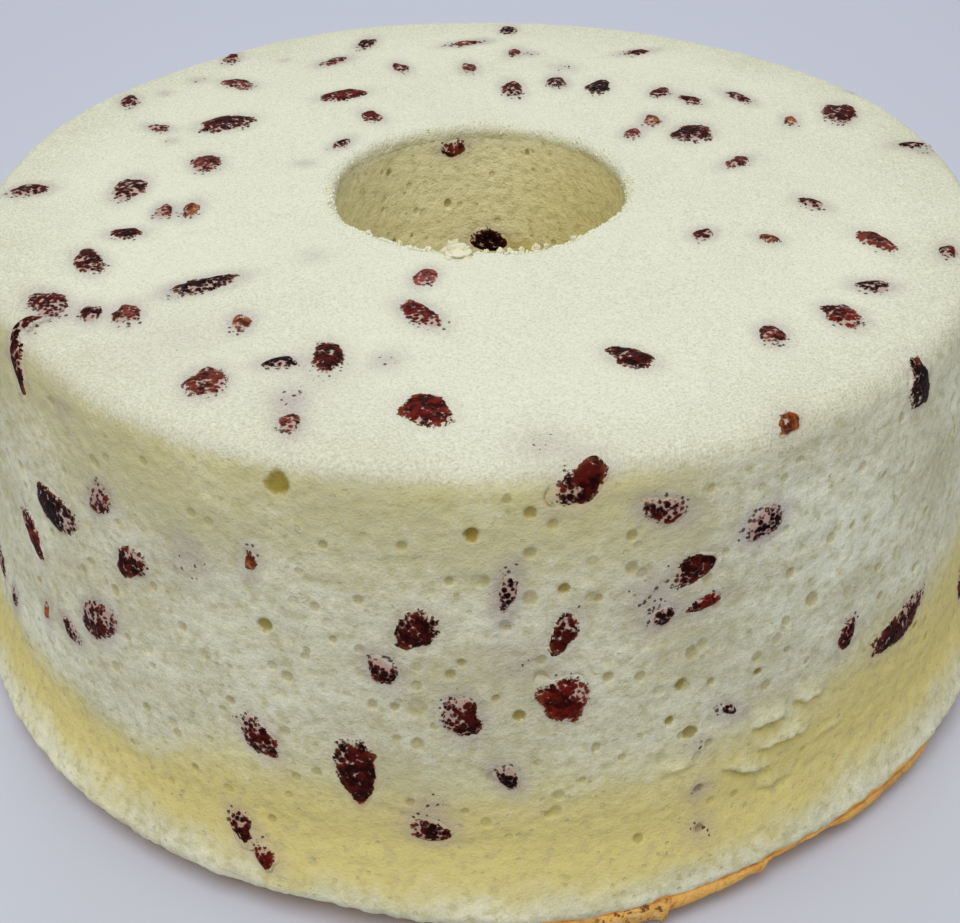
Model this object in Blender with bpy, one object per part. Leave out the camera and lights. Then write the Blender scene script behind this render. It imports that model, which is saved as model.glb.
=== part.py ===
"""Cranberry chiffon cake: a ring-shaped sponge turned out of its tube tin, with dried cranberries in its crumb.

Metres, +Z up. The origin is on the table, under the middle of the hole. The cake stands upside down, as
it left the tin: the tin's narrow end is the flat top, and the baked crust is underneath, where it curves
up to the lip. The larger cranberries are solids of their own, each in its pocket in the sponge. Small
chips of cranberry and torn flakes of crumb are one solid with the sponge.

Bearings are in degrees from +X, counterclockwise from above. A place on the side or in the hole is a
bearing and a height, and a place on the top is a bearing and a distance from the axis, in millimetres.
"""

import math
import random

import bmesh
import bpy
from mathutils import Matrix, Vector, noise

MM = 0.001

# The sponge's driving dimensions.
HEIGHT = 78 * MM
TOP_RADIUS = 84 * MM
FOOT_RADIUS = 92 * MM  # where the straight side ends and the flare to the lip begins
LIP_RADIUS = 97 * MM
HOLE_TOP_RADIUS = 25 * MM
HOLE_FOOT_RADIUS = 22.5 * MM
FLARE_TOP = 17 * MM
LIP_HEIGHT = 6 * MM
REST_RADIUS = 79 * MM  # outer edge of the flat that the cake stands on
TOP_EDGE_ROUND = 4.5 * MM
HOLE_EDGE_ROUND = 2 * MM
CRUST_THICKNESS = 1.6 * MM

# Facets of the sponge.
SPOKES = 84
SIDE_STEPS = 5
TOP_STEPS = 3
HOLE_STEPS = 3
FLARE_SHARES = (0.3, 0.62, 0.85)
CRUST_SHARES = (0.4, 0.75)

# Unevenness of the sponge.
SWELL = 0.4 * MM
SWELL_PITCH = 12 * MM
LIP_WAVE = 0.8 * MM
TORN_BEARINGS = (272, 326)  # the crumb is torn back here, so that the crust's edge shows
TORN_RISE = 1.6 * MM
TORN_SET_BACK = 1.8 * MM
TORN_FADES = (5, 30)  # degrees over which the tear begins and ends

# Cranberries: half of a piece's thickness, how deep its middle lies, and its gap to the pocket.
BERRY_HALF_THICKNESS = 1.8 * MM
BERRY_DEPTH = 1.1 * MM
BERRY_ROUGHNESS = 0.13
BERRY_SEGMENTS = 8
BERRY_RINGS = 4
POCKET_GAP = 0.3 * MM

# Chips and flakes, which are fused to the sponge.
CHIP_HALF_THICKNESS = 1.0 * MM
CHIP_DEPTH = 0.55 * MM
CHIP_SEGMENTS = 7
CHIP_RINGS = 3
FLAKE_HALF_THICKNESS = 1.1 * MM
FLAKE_DEPTH = 0.45 * MM

# Pieces that show: bearing, place, length, width, and the turn of the length from +X or the horizontal.
TOP_BERRIES = (
    (136, 66, 7.0, 4.5, 147),
    (124, 47, 9.0, 5.0, 28),
    (151, 54, 11.0, 7.0, 27),
    (170, 49, 7.0, 5.0, 100),
    (181, 77, 6.5, 4.5, 19),
    (181, 60, 9.0, 5.5, 80),
    (204, 67, 8.0, 4.5, 116),
    (81, 43, 8.0, 4.2, 96),
    (61, 49, 7.5, 4.4, 78),
    (27, 44, 8.5, 7.0, 49),
    (22, 73, 9.5, 6.0, 80),
    (340, 67, 7.5, 4.1, 121),
    (212, 76, 8.5, 5.1, 127),
    (220.1, 54.8, 10.8, 4.4, 28),
    (249, 60, 8.0, 4.6, 96),
    (239, 73, 7.0, 5.5, 95),
    (259, 46, 8.5, 4.3, 126),
    (264, 70, 7.8, 6.6, 130),
    (290, 61, 6.8, 4.5, 145),
    (319, 70, 6.8, 5.0, 116),
)
SIDE_BERRIES = (
    (218.1, 45.3, 9.0, 4.2, 134),
    (223.5, 53.9, 10.5, 6.2, 178),
    (235, 53, 6.4, 4.6, 38),
    (229.9, 39.2, 8.6, 6.2, 45),
    (249, 31, 7.0, 4.4, 130),
    (258.4, 28.6, 11.0, 6.2, 98),
    (264, 54, 6.4, 5.2, 48),
    (268, 40, 7.0, 5.0, 100),
    (277.1, 42, 7.4, 6.4, 101),
    (277, 53, 6.8, 3.2, 76),
    (278.5, 75.4, 7.6, 4.4, 41),
    (286, 70, 6.2, 3.6, 158),
    (296, 64, 6.2, 4.3, 20),
    (289, 60, 6.4, 4.2, 12),
    (307, 38, 5.4, 3.2, 75),
    (315.7, 32.2, 14.0, 6.0, 15),
    (265, 19, 6.0, 3.6, 172),
    (317, 72.8, 8.2, 5.0, 104),
    (217.2, 73.9, 8.4, 3.4, 117),
)
HOLE_BERRIES = (
    (101, 73, 4.6, 3.0, 8),
    (86, 54, 8.0, 4.5, 178),
)
TOP_CHIPS = (
    (130, 79, 5.0, 3.0, 83),
    (109, 72, 6.0, 3.4, 70),
    (92, 68, 6.5, 2.6, 16),
    (117, 65, 6.0, 2.8, 41),
    (106, 57, 5.0, 3.0, 106),
    (92, 54, 5.0, 2.8, 96),
    (151, 77, 5.5, 3.2, 101),
    (125, 35, 5.5, 3.6, 116),
    (158, 64, 4.2, 2.8, 155),
    (191, 49, 5.2, 2.8, 84),
    (197, 60, 5.2, 3.6, 0),
    (256, 35, 5.6, 3.6, 76),
    (85, 76, 5.0, 3.4, 89),
    (83, 62, 4.4, 2.6, 78),
    (62, 70, 6.2, 2.4, 20),
    (71, 48, 5.2, 3.6, 97),
    (48, 53, 5.0, 3.6, 74),
    (41, 54, 5.2, 3.2, 117),
    (36, 62, 6.0, 2.8, 121),
    (38, 41, 5.2, 3.4, 78),
    (9, 46, 5.6, 3.2, 48),
    (23, 63, 4.2, 2.4, 81),
    (10, 79, 5.0, 2.2, 9),
    (350, 56, 4.6, 2.8, 130),
    (331, 41, 4.0, 3.0, 52),
    (335, 51, 3.4, 2.6, 141),
    (340, 78, 4.2, 2.4, 68),
    (328, 70, 5.2, 3.4, 175),
    (220, 68, 5.6, 4.0, 100),
    (233, 58, 4.4, 2.8, 90),
    (244, 64, 4.6, 2.8, 8),
    (251, 77, 4.2, 2.6, 99),
    (309, 66, 5.4, 3.6, 82),
    (146, 30, 4.2, 2.4, 58),
    (299, 81.5, 3.8, 2.6, 62),
    (217, 72, 4.8, 3.2, 100),
    (190.4, 53.5, 4.6, 2.8, 95),
    (35, 34.5, 4.2, 2.8, 60),
    (215, 81.3, 5.4, 2.2, 118),
)
SIDE_CHIPS = (
    (231, 61, 5.2, 3.8, 60),
    (224.9, 33.2, 4.8, 3.2, 150),
    (261, 47, 5.0, 3.6, 120),
    (272, 60, 5.6, 2.2, 82),
    (290, 54, 4.8, 2.2, 10),
    (247, 14, 4.8, 3.2, 130),
    (272, 29, 4.4, 2.8, 124),
    (249, 61, 3.0, 1.6, 83),
    (293, 34, 3.0, 1.6, 150),
    (249.7, 11, 3.6, 2.2, 150),
    (220, 32, 3.4, 1.6, 80),
    (210, 24, 4.6, 2.4, 70),
    (286, 53.3, 3.2, 2.4, 20),
)
FLAKES = (
    (301, 31, 6.5, 3.2, 12),
    (297, 28, 9.0, 3.4, 8),
    (293, 24, 8.0, 2.8, 5),
    (284, 13, 8.0, 3.0, 0),
)

# The far side, where pieces are spread by a rule: from the right of the shown stretch round to its left.
FAR_BEARINGS = (331, 566)
FAR_HEIGHTS = (14, 72)
FAR_BERRIES = 18
FAR_CHIPS = 18
FAR_SPACING = 17 * MM
FAR_SEED = 31

SPONGE_COLOUR = (0.80, 0.77, 0.56)
BERRY_COLOUR = (0.15, 0.012, 0.010)


def clear_scene():
    """Remove every object that the file opened with."""
    for thing in list(bpy.data.objects):
        bpy.data.objects.remove(thing, do_unlink=True)


def make_material(name, colour, roughness):
    """Return a plain Principled material."""
    material = bpy.data.materials.new(name)
    material.use_nodes = True
    shader = material.node_tree.nodes["Principled BSDF"]
    shader.inputs["Base Color"].default_value = (*colour, 1.0)
    shader.inputs["Roughness"].default_value = roughness
    shader.inputs["Metallic"].default_value = 0.0
    return material


def around(bearing, radius, height):
    """Return the point at a bearing in radians, a distance from the axis and a height."""
    return Vector((radius * math.cos(bearing), radius * math.sin(bearing), height))


def swell(bearing, radius, height):
    """Return how far the crumb stands out at a point: three slow waves round the cake, which never meet."""
    across = radius / SWELL_PITCH
    climb = height / SWELL_PITCH
    first = math.sin(3 * bearing + climb)
    second = math.sin(5 * bearing - 1.4 * across + 2)
    third = math.sin(8 * bearing + 1.2 * climb + 0.8 * across + 4)
    return SWELL * (first + second + third) / 3


def side_radius(bearing, height):
    """Return the radius of the straight, tapering side."""
    share = (height - FLARE_TOP) / (HEIGHT - FLARE_TOP)
    radius = FOOT_RADIUS + (TOP_RADIUS - FOOT_RADIUS) * share
    return radius + swell(bearing, radius, height)


def hole_radius(bearing, height):
    """Return the radius of the hole, which widens to the top."""
    radius = HOLE_FOOT_RADIUS + (HOLE_TOP_RADIUS - HOLE_FOOT_RADIUS) * height / HEIGHT
    return radius - swell(bearing, radius, height)


def top_height(bearing, radius):
    """Return the height of the top, which lies a little uneven."""
    return HEIGHT + swell(bearing, radius, HEIGHT) - SWELL


def torn_share(bearing):
    """Return 0 where the crumb covers the crust's edge, rising to 1 where it is torn back from it."""
    degrees = math.degrees(bearing) % 360
    begin = (degrees - TORN_BEARINGS[0]) / TORN_FADES[0]
    end = (TORN_BEARINGS[1] - degrees) / TORN_FADES[1]
    ragged = 0.75 + 0.25 * math.sin(9 * bearing) * math.sin(14 * bearing + 1)
    return ragged * min(max(min(begin, end), 0.0), 1.0)


def section(bearing):
    """Return the sponge's outline at a bearing, as (radius, height) points.

    It starts at the hole's foot and goes out under the cake, round the lip, up the side, over the top
    and down the hole.
    """
    torn = torn_share(bearing)
    lip_radius = LIP_RADIUS + LIP_WAVE * math.sin(5 * bearing) * math.sin(2 * bearing + 1)
    lip_height = LIP_HEIGHT + LIP_WAVE * math.sin(7 * bearing + 2) * math.sin(3 * bearing)
    crust_height = lip_height - CRUST_THICKNESS
    outline = [(HOLE_FOOT_RADIUS + HOLE_EDGE_ROUND, 0.0), (REST_RADIUS, 0.0)]
    for share in CRUST_SHARES:
        outline.append((REST_RADIUS + share * (lip_radius - REST_RADIUS), crust_height * share**1.6))
    outline.append((lip_radius - 0.4 * MM, crust_height))
    outline.append((lip_radius, crust_height + 0.5 * CRUST_THICKNESS))
    outline.append((lip_radius - torn * TORN_SET_BACK, lip_height + torn * 0.3 * TORN_RISE))
    flare_foot = lip_height + TORN_RISE * (0.5 + torn)
    for share in FLARE_SHARES:
        height = flare_foot + share * (FLARE_TOP - flare_foot)
        foot = side_radius(bearing, height)
        outline.append((foot + (lip_radius - foot - torn * TORN_SET_BACK) * (1 - share) ** 1.7, height))
    side_top = HEIGHT - TOP_EDGE_ROUND
    for step in range(SIDE_STEPS + 1):
        height = FLARE_TOP + (side_top - FLARE_TOP) * step / SIDE_STEPS
        outline.append((side_radius(bearing, height), height))
    edge = side_radius(bearing, side_top) - TOP_EDGE_ROUND
    lid = top_height(bearing, edge)
    for angle in (math.radians(35), math.radians(65)):
        rise = (lid - side_top) * math.sin(angle)
        outline.append((edge + TOP_EDGE_ROUND * math.cos(angle), side_top + rise))
    rim = hole_radius(bearing, HEIGHT) + HOLE_EDGE_ROUND
    for step in range(TOP_STEPS + 1):
        radius = edge + (rim - edge) * step / TOP_STEPS
        outline.append((radius, top_height(bearing, radius)))
    brink = top_height(bearing, rim) - HOLE_EDGE_ROUND
    outline.append((rim - 0.7 * HOLE_EDGE_ROUND, brink + 0.7 * HOLE_EDGE_ROUND))
    for step in range(HOLE_STEPS + 1):
        height = brink + (HOLE_EDGE_ROUND - brink) * step / HOLE_STEPS
        outline.append((hole_radius(bearing, height), height))
    return outline


def make_sponge(material):
    """Return the ring of sponge, a skin between sections round the axis."""
    mesh = bmesh.new()
    rings = []
    for spoke in range(SPOKES):
        bearing = math.tau * spoke / SPOKES
        rings.append([mesh.verts.new(around(bearing, *point)) for point in section(bearing)])
    for spoke, ring in enumerate(rings):
        following = rings[(spoke + 1) % SPOKES]
        for here in range(len(ring)):
            there = (here + 1) % len(ring)
            mesh.faces.new((ring[here], following[here], following[there], ring[there]))
    return finish_mesh("sponge", mesh, material)


def finish_mesh(name, mesh, material):
    """Turn a closed bmesh into a smooth-shaded object of the scene, with its faces pointing out."""
    mesh.normal_update()
    bmesh.ops.recalc_face_normals(mesh, faces=mesh.faces)
    data = bpy.data.meshes.new(name)
    mesh.to_mesh(data)
    mesh.free()
    data.shade_smooth()
    data.set_sharp_from_angle(angle=math.radians(50))
    data.materials.append(material)
    thing = bpy.data.objects.new(name, data)
    bpy.context.scene.collection.objects.link(thing)
    return thing


def top_pose(bearing, radius):
    """Return the frame of a place on the top: X along +X, Z up out of the crumb."""
    return Matrix.Translation(around(bearing, radius, top_height(bearing, radius)))


def wall_pose(bearing, radius, height, slope, outward):
    """Return the frame of a place on a wall: X level, Y up the wall and Z out of the crumb."""
    normal = around(bearing, outward * math.cos(slope), math.sin(slope))
    level = Vector((-math.sin(bearing), math.cos(bearing), 0.0)) * outward
    axes = Matrix((level, normal.cross(level), normal)).transposed()
    return Matrix.Translation(around(bearing, radius, height)) @ axes.to_4x4()


def side_pose(bearing, height):
    """Return the frame of a place on the side, or on the rounded edge above it."""
    side_top = HEIGHT - TOP_EDGE_ROUND
    if height > side_top:
        turn = math.asin((height - side_top) / TOP_EDGE_ROUND)
        reach = side_radius(bearing, side_top) - TOP_EDGE_ROUND * (1 - math.cos(turn))
        return wall_pose(bearing, reach, height, turn, 1)
    slope = math.atan2(FOOT_RADIUS - TOP_RADIUS, HEIGHT - FLARE_TOP)
    reach = side_radius(bearing, height)
    if height < FLARE_TOP:
        share = (FLARE_TOP - height) / (FLARE_TOP - LIP_HEIGHT - TORN_RISE / 2)
        reach += (LIP_RADIUS - FOOT_RADIUS) * min(share, 1.0) ** 1.7
    return wall_pose(bearing, reach, height, slope, 1)


def hole_pose(bearing, height):
    """Return the frame of a place on the wall of the hole."""
    slope = math.atan2(HOLE_TOP_RADIUS - HOLE_FOOT_RADIUS, HEIGHT)
    return wall_pose(bearing, hole_radius(bearing, height), height, slope, -1)


def make_lump(name, pose, piece, thickness, depth, fineness, grow=0.0):
    """Return the bmesh of a lumpy ellipsoid that lies under the crumb's surface and stands a little proud.

    piece is (length, width, turn): the outline that shows at the surface, in millimetres and degrees.
    grow moves the skin out, for the pocket that the lump lies in.
    """
    length, width, turn = piece
    shown = math.sqrt(1 - (depth / thickness) ** 2)
    half_sizes = Vector((length * MM / 2 / shown, width * MM / 2 / shown, thickness))
    segments, rings = fineness
    mesh = bmesh.new()
    bmesh.ops.create_uvsphere(mesh, u_segments=segments, v_segments=rings, radius=1.0)
    shift = Vector((sum(map(ord, name)) % 97, length, width))
    for vertex in mesh.verts:
        vertex.co *= 1 + BERRY_ROUGHNESS * noise.noise(1.7 * vertex.co + shift)
        vertex.co = Vector(map(float.__mul__, vertex.co, half_sizes))
    mesh.normal_update()
    for vertex in mesh.verts:
        vertex.co += grow * vertex.normal
    turned = Matrix.Rotation(math.radians(turn), 4, "Z") @ Matrix.Translation((0, 0, -depth))
    mesh.transform(pose @ turned)
    return mesh


def berry_bmesh(name, pose, piece, grow=0.0):
    """Return the bmesh of one cranberry, or of its pocket where grow is the gap."""
    fineness = (BERRY_SEGMENTS, BERRY_RINGS)
    return make_lump(name, pose, piece, BERRY_HALF_THICKNESS, BERRY_DEPTH, fineness, grow)


def far_places():
    """Return the places of the far side's pieces, drawn at random and kept clear of each other."""
    draw = random.Random(FAR_SEED)
    places = []
    while len(places) < FAR_BERRIES + FAR_CHIPS:
        bearing = math.radians(draw.uniform(*FAR_BEARINGS))
        height = draw.uniform(*FAR_HEIGHTS)
        spot = around(bearing, FOOT_RADIUS, height * MM)
        if all((spot - other[0]).length > FAR_SPACING for other in places):
            places.append((spot, bearing, height, draw.random(), draw.uniform(0, 180)))
    return places


def listed(pose_of, pieces):
    """Return (pose, piece) for each listed row of bearing, place, length, width and turn."""
    return [
        (pose_of(math.radians(bearing), place * MM), (length, width, turn))
        for bearing, place, length, width, turn in pieces
    ]


def berry_places():
    """Return {node name: (pose, piece)} of every cranberry that is a solid of its own."""
    far = [
        (side_pose(bearing, height * MM), (5.6 + 3.4 * size, 3.8 + 1.8 * size, turn))
        for _, bearing, height, size, turn in far_places()[:FAR_BERRIES]
    ]
    zones = {
        "top": listed(top_pose, TOP_BERRIES),
        "side": listed(side_pose, SIDE_BERRIES),
        "hole": listed(hole_pose, HOLE_BERRIES),
        "far": far,
    }
    return {
        f"cranberry_{zone}_{number:02d}": place
        for zone, places in zones.items()
        for number, place in enumerate(places, start=1)
    }


def chip_places():
    """Return (pose, piece) of every chip of cranberry that is fused to the sponge."""
    far = [
        (side_pose(bearing, height * MM), (3.4 + 2.0 * size, 2.2 + 1.4 * size, turn))
        for _, bearing, height, size, turn in far_places()[FAR_BERRIES:]
    ]
    return listed(top_pose, TOP_CHIPS) + listed(side_pose, SIDE_CHIPS) + far


def combine(target, helpers, operation):
    """Join the helpers to the target, or cut them from it, and remove them."""
    group = bpy.data.collections.new(operation)
    bpy.context.scene.collection.children.link(group)
    for helper in helpers:
        bpy.context.scene.collection.objects.unlink(helper)
        group.objects.link(helper)
    boolean = target.modifiers.new(operation, "BOOLEAN")
    boolean.operation = operation
    boolean.operand_type = "COLLECTION"
    boolean.collection = group
    boolean.solver = "EXACT"
    graph = bpy.context.evaluated_depsgraph_get()
    result = bpy.data.meshes.new_from_object(target.evaluated_get(graph), depsgraph=graph)
    target.modifiers.clear()
    target.data = result
    for helper in helpers:
        bpy.data.objects.remove(helper, do_unlink=True)
    bpy.data.collections.remove(group)


def main():
    """Build the cake."""
    clear_scene()
    crumb = make_material("sponge_crumb", SPONGE_COLOUR, 0.9)
    fruit = make_material("dried_cranberry", BERRY_COLOUR, 0.45)
    sponge = make_sponge(crumb)
    relief = []
    for number, (pose, piece) in enumerate(chip_places()):
        name = f"chip_{number:02d}"
        fineness = (CHIP_SEGMENTS, CHIP_RINGS)
        chip = make_lump(name, pose, piece, CHIP_HALF_THICKNESS, CHIP_DEPTH, fineness)
        relief.append(finish_mesh(name, chip, crumb))
    for number, (pose, piece) in enumerate(listed(side_pose, FLAKES)):
        name = f"flake_{number:02d}"
        fineness = (BERRY_SEGMENTS, CHIP_RINGS)
        flake = make_lump(name, pose, piece, FLAKE_HALF_THICKNESS, FLAKE_DEPTH, fineness)
        relief.append(finish_mesh(name, flake, crumb))
    combine(sponge, relief, "UNION")
    berries = berry_places()
    pockets = [
        finish_mesh(f"pocket_{name}", berry_bmesh(name, pose, piece, POCKET_GAP), crumb)
        for name, (pose, piece) in berries.items()
    ]
    combine(sponge, pockets, "DIFFERENCE")
    for name, (pose, piece) in berries.items():
        finish_mesh(name, berry_bmesh(name, pose, piece), fruit)


main()
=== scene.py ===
"""Looks of the cranberry chiffon cake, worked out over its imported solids.

Metres, +Z up, with the origin on the table under the middle of the cake's hole. Bearings go counterclockwise
from +X, seen from above. A place on the top is a bearing and a distance from the axis, and a place on the side
or in the hole is a bearing and a height. Tables give bearings in degrees, and places and sizes in millimetres.
"""

from __future__ import annotations

import itertools
import logging
import math
import random
from collections.abc import Sequence
from dataclasses import dataclass, field
from enum import Enum

import bpy
import numpy as np
from mathutils import Matrix, Vector

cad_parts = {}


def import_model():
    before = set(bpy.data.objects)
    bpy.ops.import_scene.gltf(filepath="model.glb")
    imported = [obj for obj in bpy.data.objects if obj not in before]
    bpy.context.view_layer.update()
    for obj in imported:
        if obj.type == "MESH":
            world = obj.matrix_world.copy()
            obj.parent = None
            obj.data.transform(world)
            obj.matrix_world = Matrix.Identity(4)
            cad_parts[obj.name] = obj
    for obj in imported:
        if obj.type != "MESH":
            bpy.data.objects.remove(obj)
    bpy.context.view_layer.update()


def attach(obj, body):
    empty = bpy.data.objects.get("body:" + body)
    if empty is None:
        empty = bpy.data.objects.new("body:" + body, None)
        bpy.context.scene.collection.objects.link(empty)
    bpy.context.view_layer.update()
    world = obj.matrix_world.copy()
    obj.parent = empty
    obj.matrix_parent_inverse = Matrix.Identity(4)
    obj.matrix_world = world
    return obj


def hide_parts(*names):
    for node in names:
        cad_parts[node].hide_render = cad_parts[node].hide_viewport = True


LOG = logging.getLogger("chiffon_cake")
MM = 0.001
# The spacing of the net of crumb that clings to the fruit.
NET_PITCH = 0.74 * MM
Array = np.ndarray
Colour = tuple[float, float, float]


# ---------------------------------------------------------------------------------------------------------
# Random bumps, as whole arrays.


def scatter(cells: Array, seed: int) -> Array:
    """Return a value from -1 to 1 for each lattice corner, by mixing the bits of its three whole numbers.

    Args:
        cells: Whole numbers, with the three coordinates along the last axis.
        seed: Which set of values.

    Returns:
        One value for each corner.
    """
    mixed = cells[..., 0] * 73856093 ^ cells[..., 1] * 19349663 ^ cells[..., 2] * 83492791 ^ seed * 2654435761
    mixed = (mixed ^ mixed >> 13) * 1274126177 & 0x7FFFFFFF
    mixed = (mixed ^ mixed >> 15) * 668265263 & 0x7FFFFFFF
    return mixed / 0x3FFFFFFF - 1


def bumps(points: Array, pitch: float, seed: int) -> Array:
    """Return smooth random bumps from -1 to 1.

    Each corner of a cubic lattice has a random value. A point takes the mean of its cell's eight corners, each
    weighted by its nearness: along an axis, with t the share of the way across, that is 3t² - 2t³.

    Args:
        points: Places, with x, y and z along the last axis.
        pitch: The lattice's spacing.
        seed: Which set of bumps.

    Returns:
        One height for each point.
    """
    scaled = points / pitch
    cell = np.floor(scaled)
    share = scaled - cell
    share = share * share * (3 - 2 * share)
    cell = cell.astype(np.int64)
    total = np.zeros(points.shape[:-1])
    for corner in itertools.product((0, 1), repeat=3):
        weight = np.prod(np.where(corner, share, 1 - share), axis=-1)
        total += weight * scatter(cell + np.array(corner), seed)
    return total


def crumble(points: Array, pitch: float, seed: int, octaves: int = 3) -> Array:
    """Return bumps with finer bumps on them, each octave half as wide and 0.55 times as high as the last."""
    heights = [0.55**step * bumps(points, pitch / 2**step, seed + step) for step in range(octaves)]
    return np.sum(heights, axis=0) / sum(0.55**step for step in range(octaves))


def ease(values: Array, start: float, end: float) -> Array:
    """Return a rise from 0 at start to 1 at end that begins and ends level: with t the share, 3t² - 2t³."""
    share = np.clip((values - start) / (end - start), 0, 1)
    return share * share * (3 - 2 * share)


def window(values: Array, low: float, high: float, fade: float) -> Array:
    """Return 1 between low and high and 0 outside, with a fade of that width outside each end."""
    return ease(values, low - fade, low) * (1 - ease(values, high, high + fade))


def steps(count: int, last: float = 1.0, first: float = 0.0) -> Array:
    """Return that many even steps from first to last, as a column."""
    return np.linspace(first, last, count)[:, None]


def ring(bearing: Array, radius: Array, height: Array | float) -> Array:
    """Return points: x is radius times cos bearing, y is radius times sin bearing, z is height."""
    height = np.broadcast_to(height, radius.shape)
    return np.stack([radius * np.cos(bearing), radius * np.sin(bearing), height], axis=-1)


def degrees_of(points: Array) -> Array:
    """Return the points' bearings, from 0 to 360."""
    return np.degrees(np.arctan2(points[..., 1], points[..., 0])) % 360


def reach_of(points: Array) -> Array:
    """Return the points' distances from the axis."""
    return np.hypot(points[..., 0], points[..., 1])


def ball(rows: int, columns: int) -> tuple[Array, Array, Array]:
    """Return a ball's angle from the top, its angle round it and its directions, as (rows, columns, 3).

    With p the first angle and a the second, a direction is (sin p cos a, sin p sin a, cos p).
    """
    polar = steps(rows, math.pi)
    around = math.tau * np.arange(columns)[None, :] / columns
    return polar, around, ring(around, np.sin(polar) + 0 * around, np.cos(polar))


# ---------------------------------------------------------------------------------------------------------
# Materials.


@dataclass(frozen=True)
class Signal:
    """A number that varies over a surface: one output socket, with Python's arithmetic."""

    graph: "Graph"
    socket: bpy.types.NodeSocket

    def _math(self, operation: str, *values: "Signal | float") -> "Signal":
        """Return a Math node's result for these values."""
        inputs = dict(enumerate(values))
        return self.graph.node("ShaderNodeMath", {"operation": operation}, inputs)

    def __add__(self, other: "Signal | float") -> "Signal":
        """Return self + other."""
        return self._math("ADD", self, other)

    def __radd__(self, other: float) -> "Signal":
        """Return other + self."""
        return self._math("ADD", other, self)

    def __sub__(self, other: "Signal | float") -> "Signal":
        """Return self - other."""
        return self._math("SUBTRACT", self, other)

    def __rsub__(self, other: float) -> "Signal":
        """Return other - self."""
        return self._math("SUBTRACT", other, self)

    def __mul__(self, other: "Signal | float") -> "Signal":
        """Return self * other."""
        return self._math("MULTIPLY", self, other)

    def __rmul__(self, other: float) -> "Signal":
        """Return other * self."""
        return self._math("MULTIPLY", other, self)

    def rise(self, start: float, end: float) -> "Signal":
        """Return 0 below start and 1 above end, with a smooth step between; start may be the higher."""
        settings = {"interpolation_type": "SMOOTHSTEP"}
        inputs = {"Value": self, "From Min": start, "From Max": end}
        return self.graph.node("ShaderNodeMapRange", settings, inputs, "Result")


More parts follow.
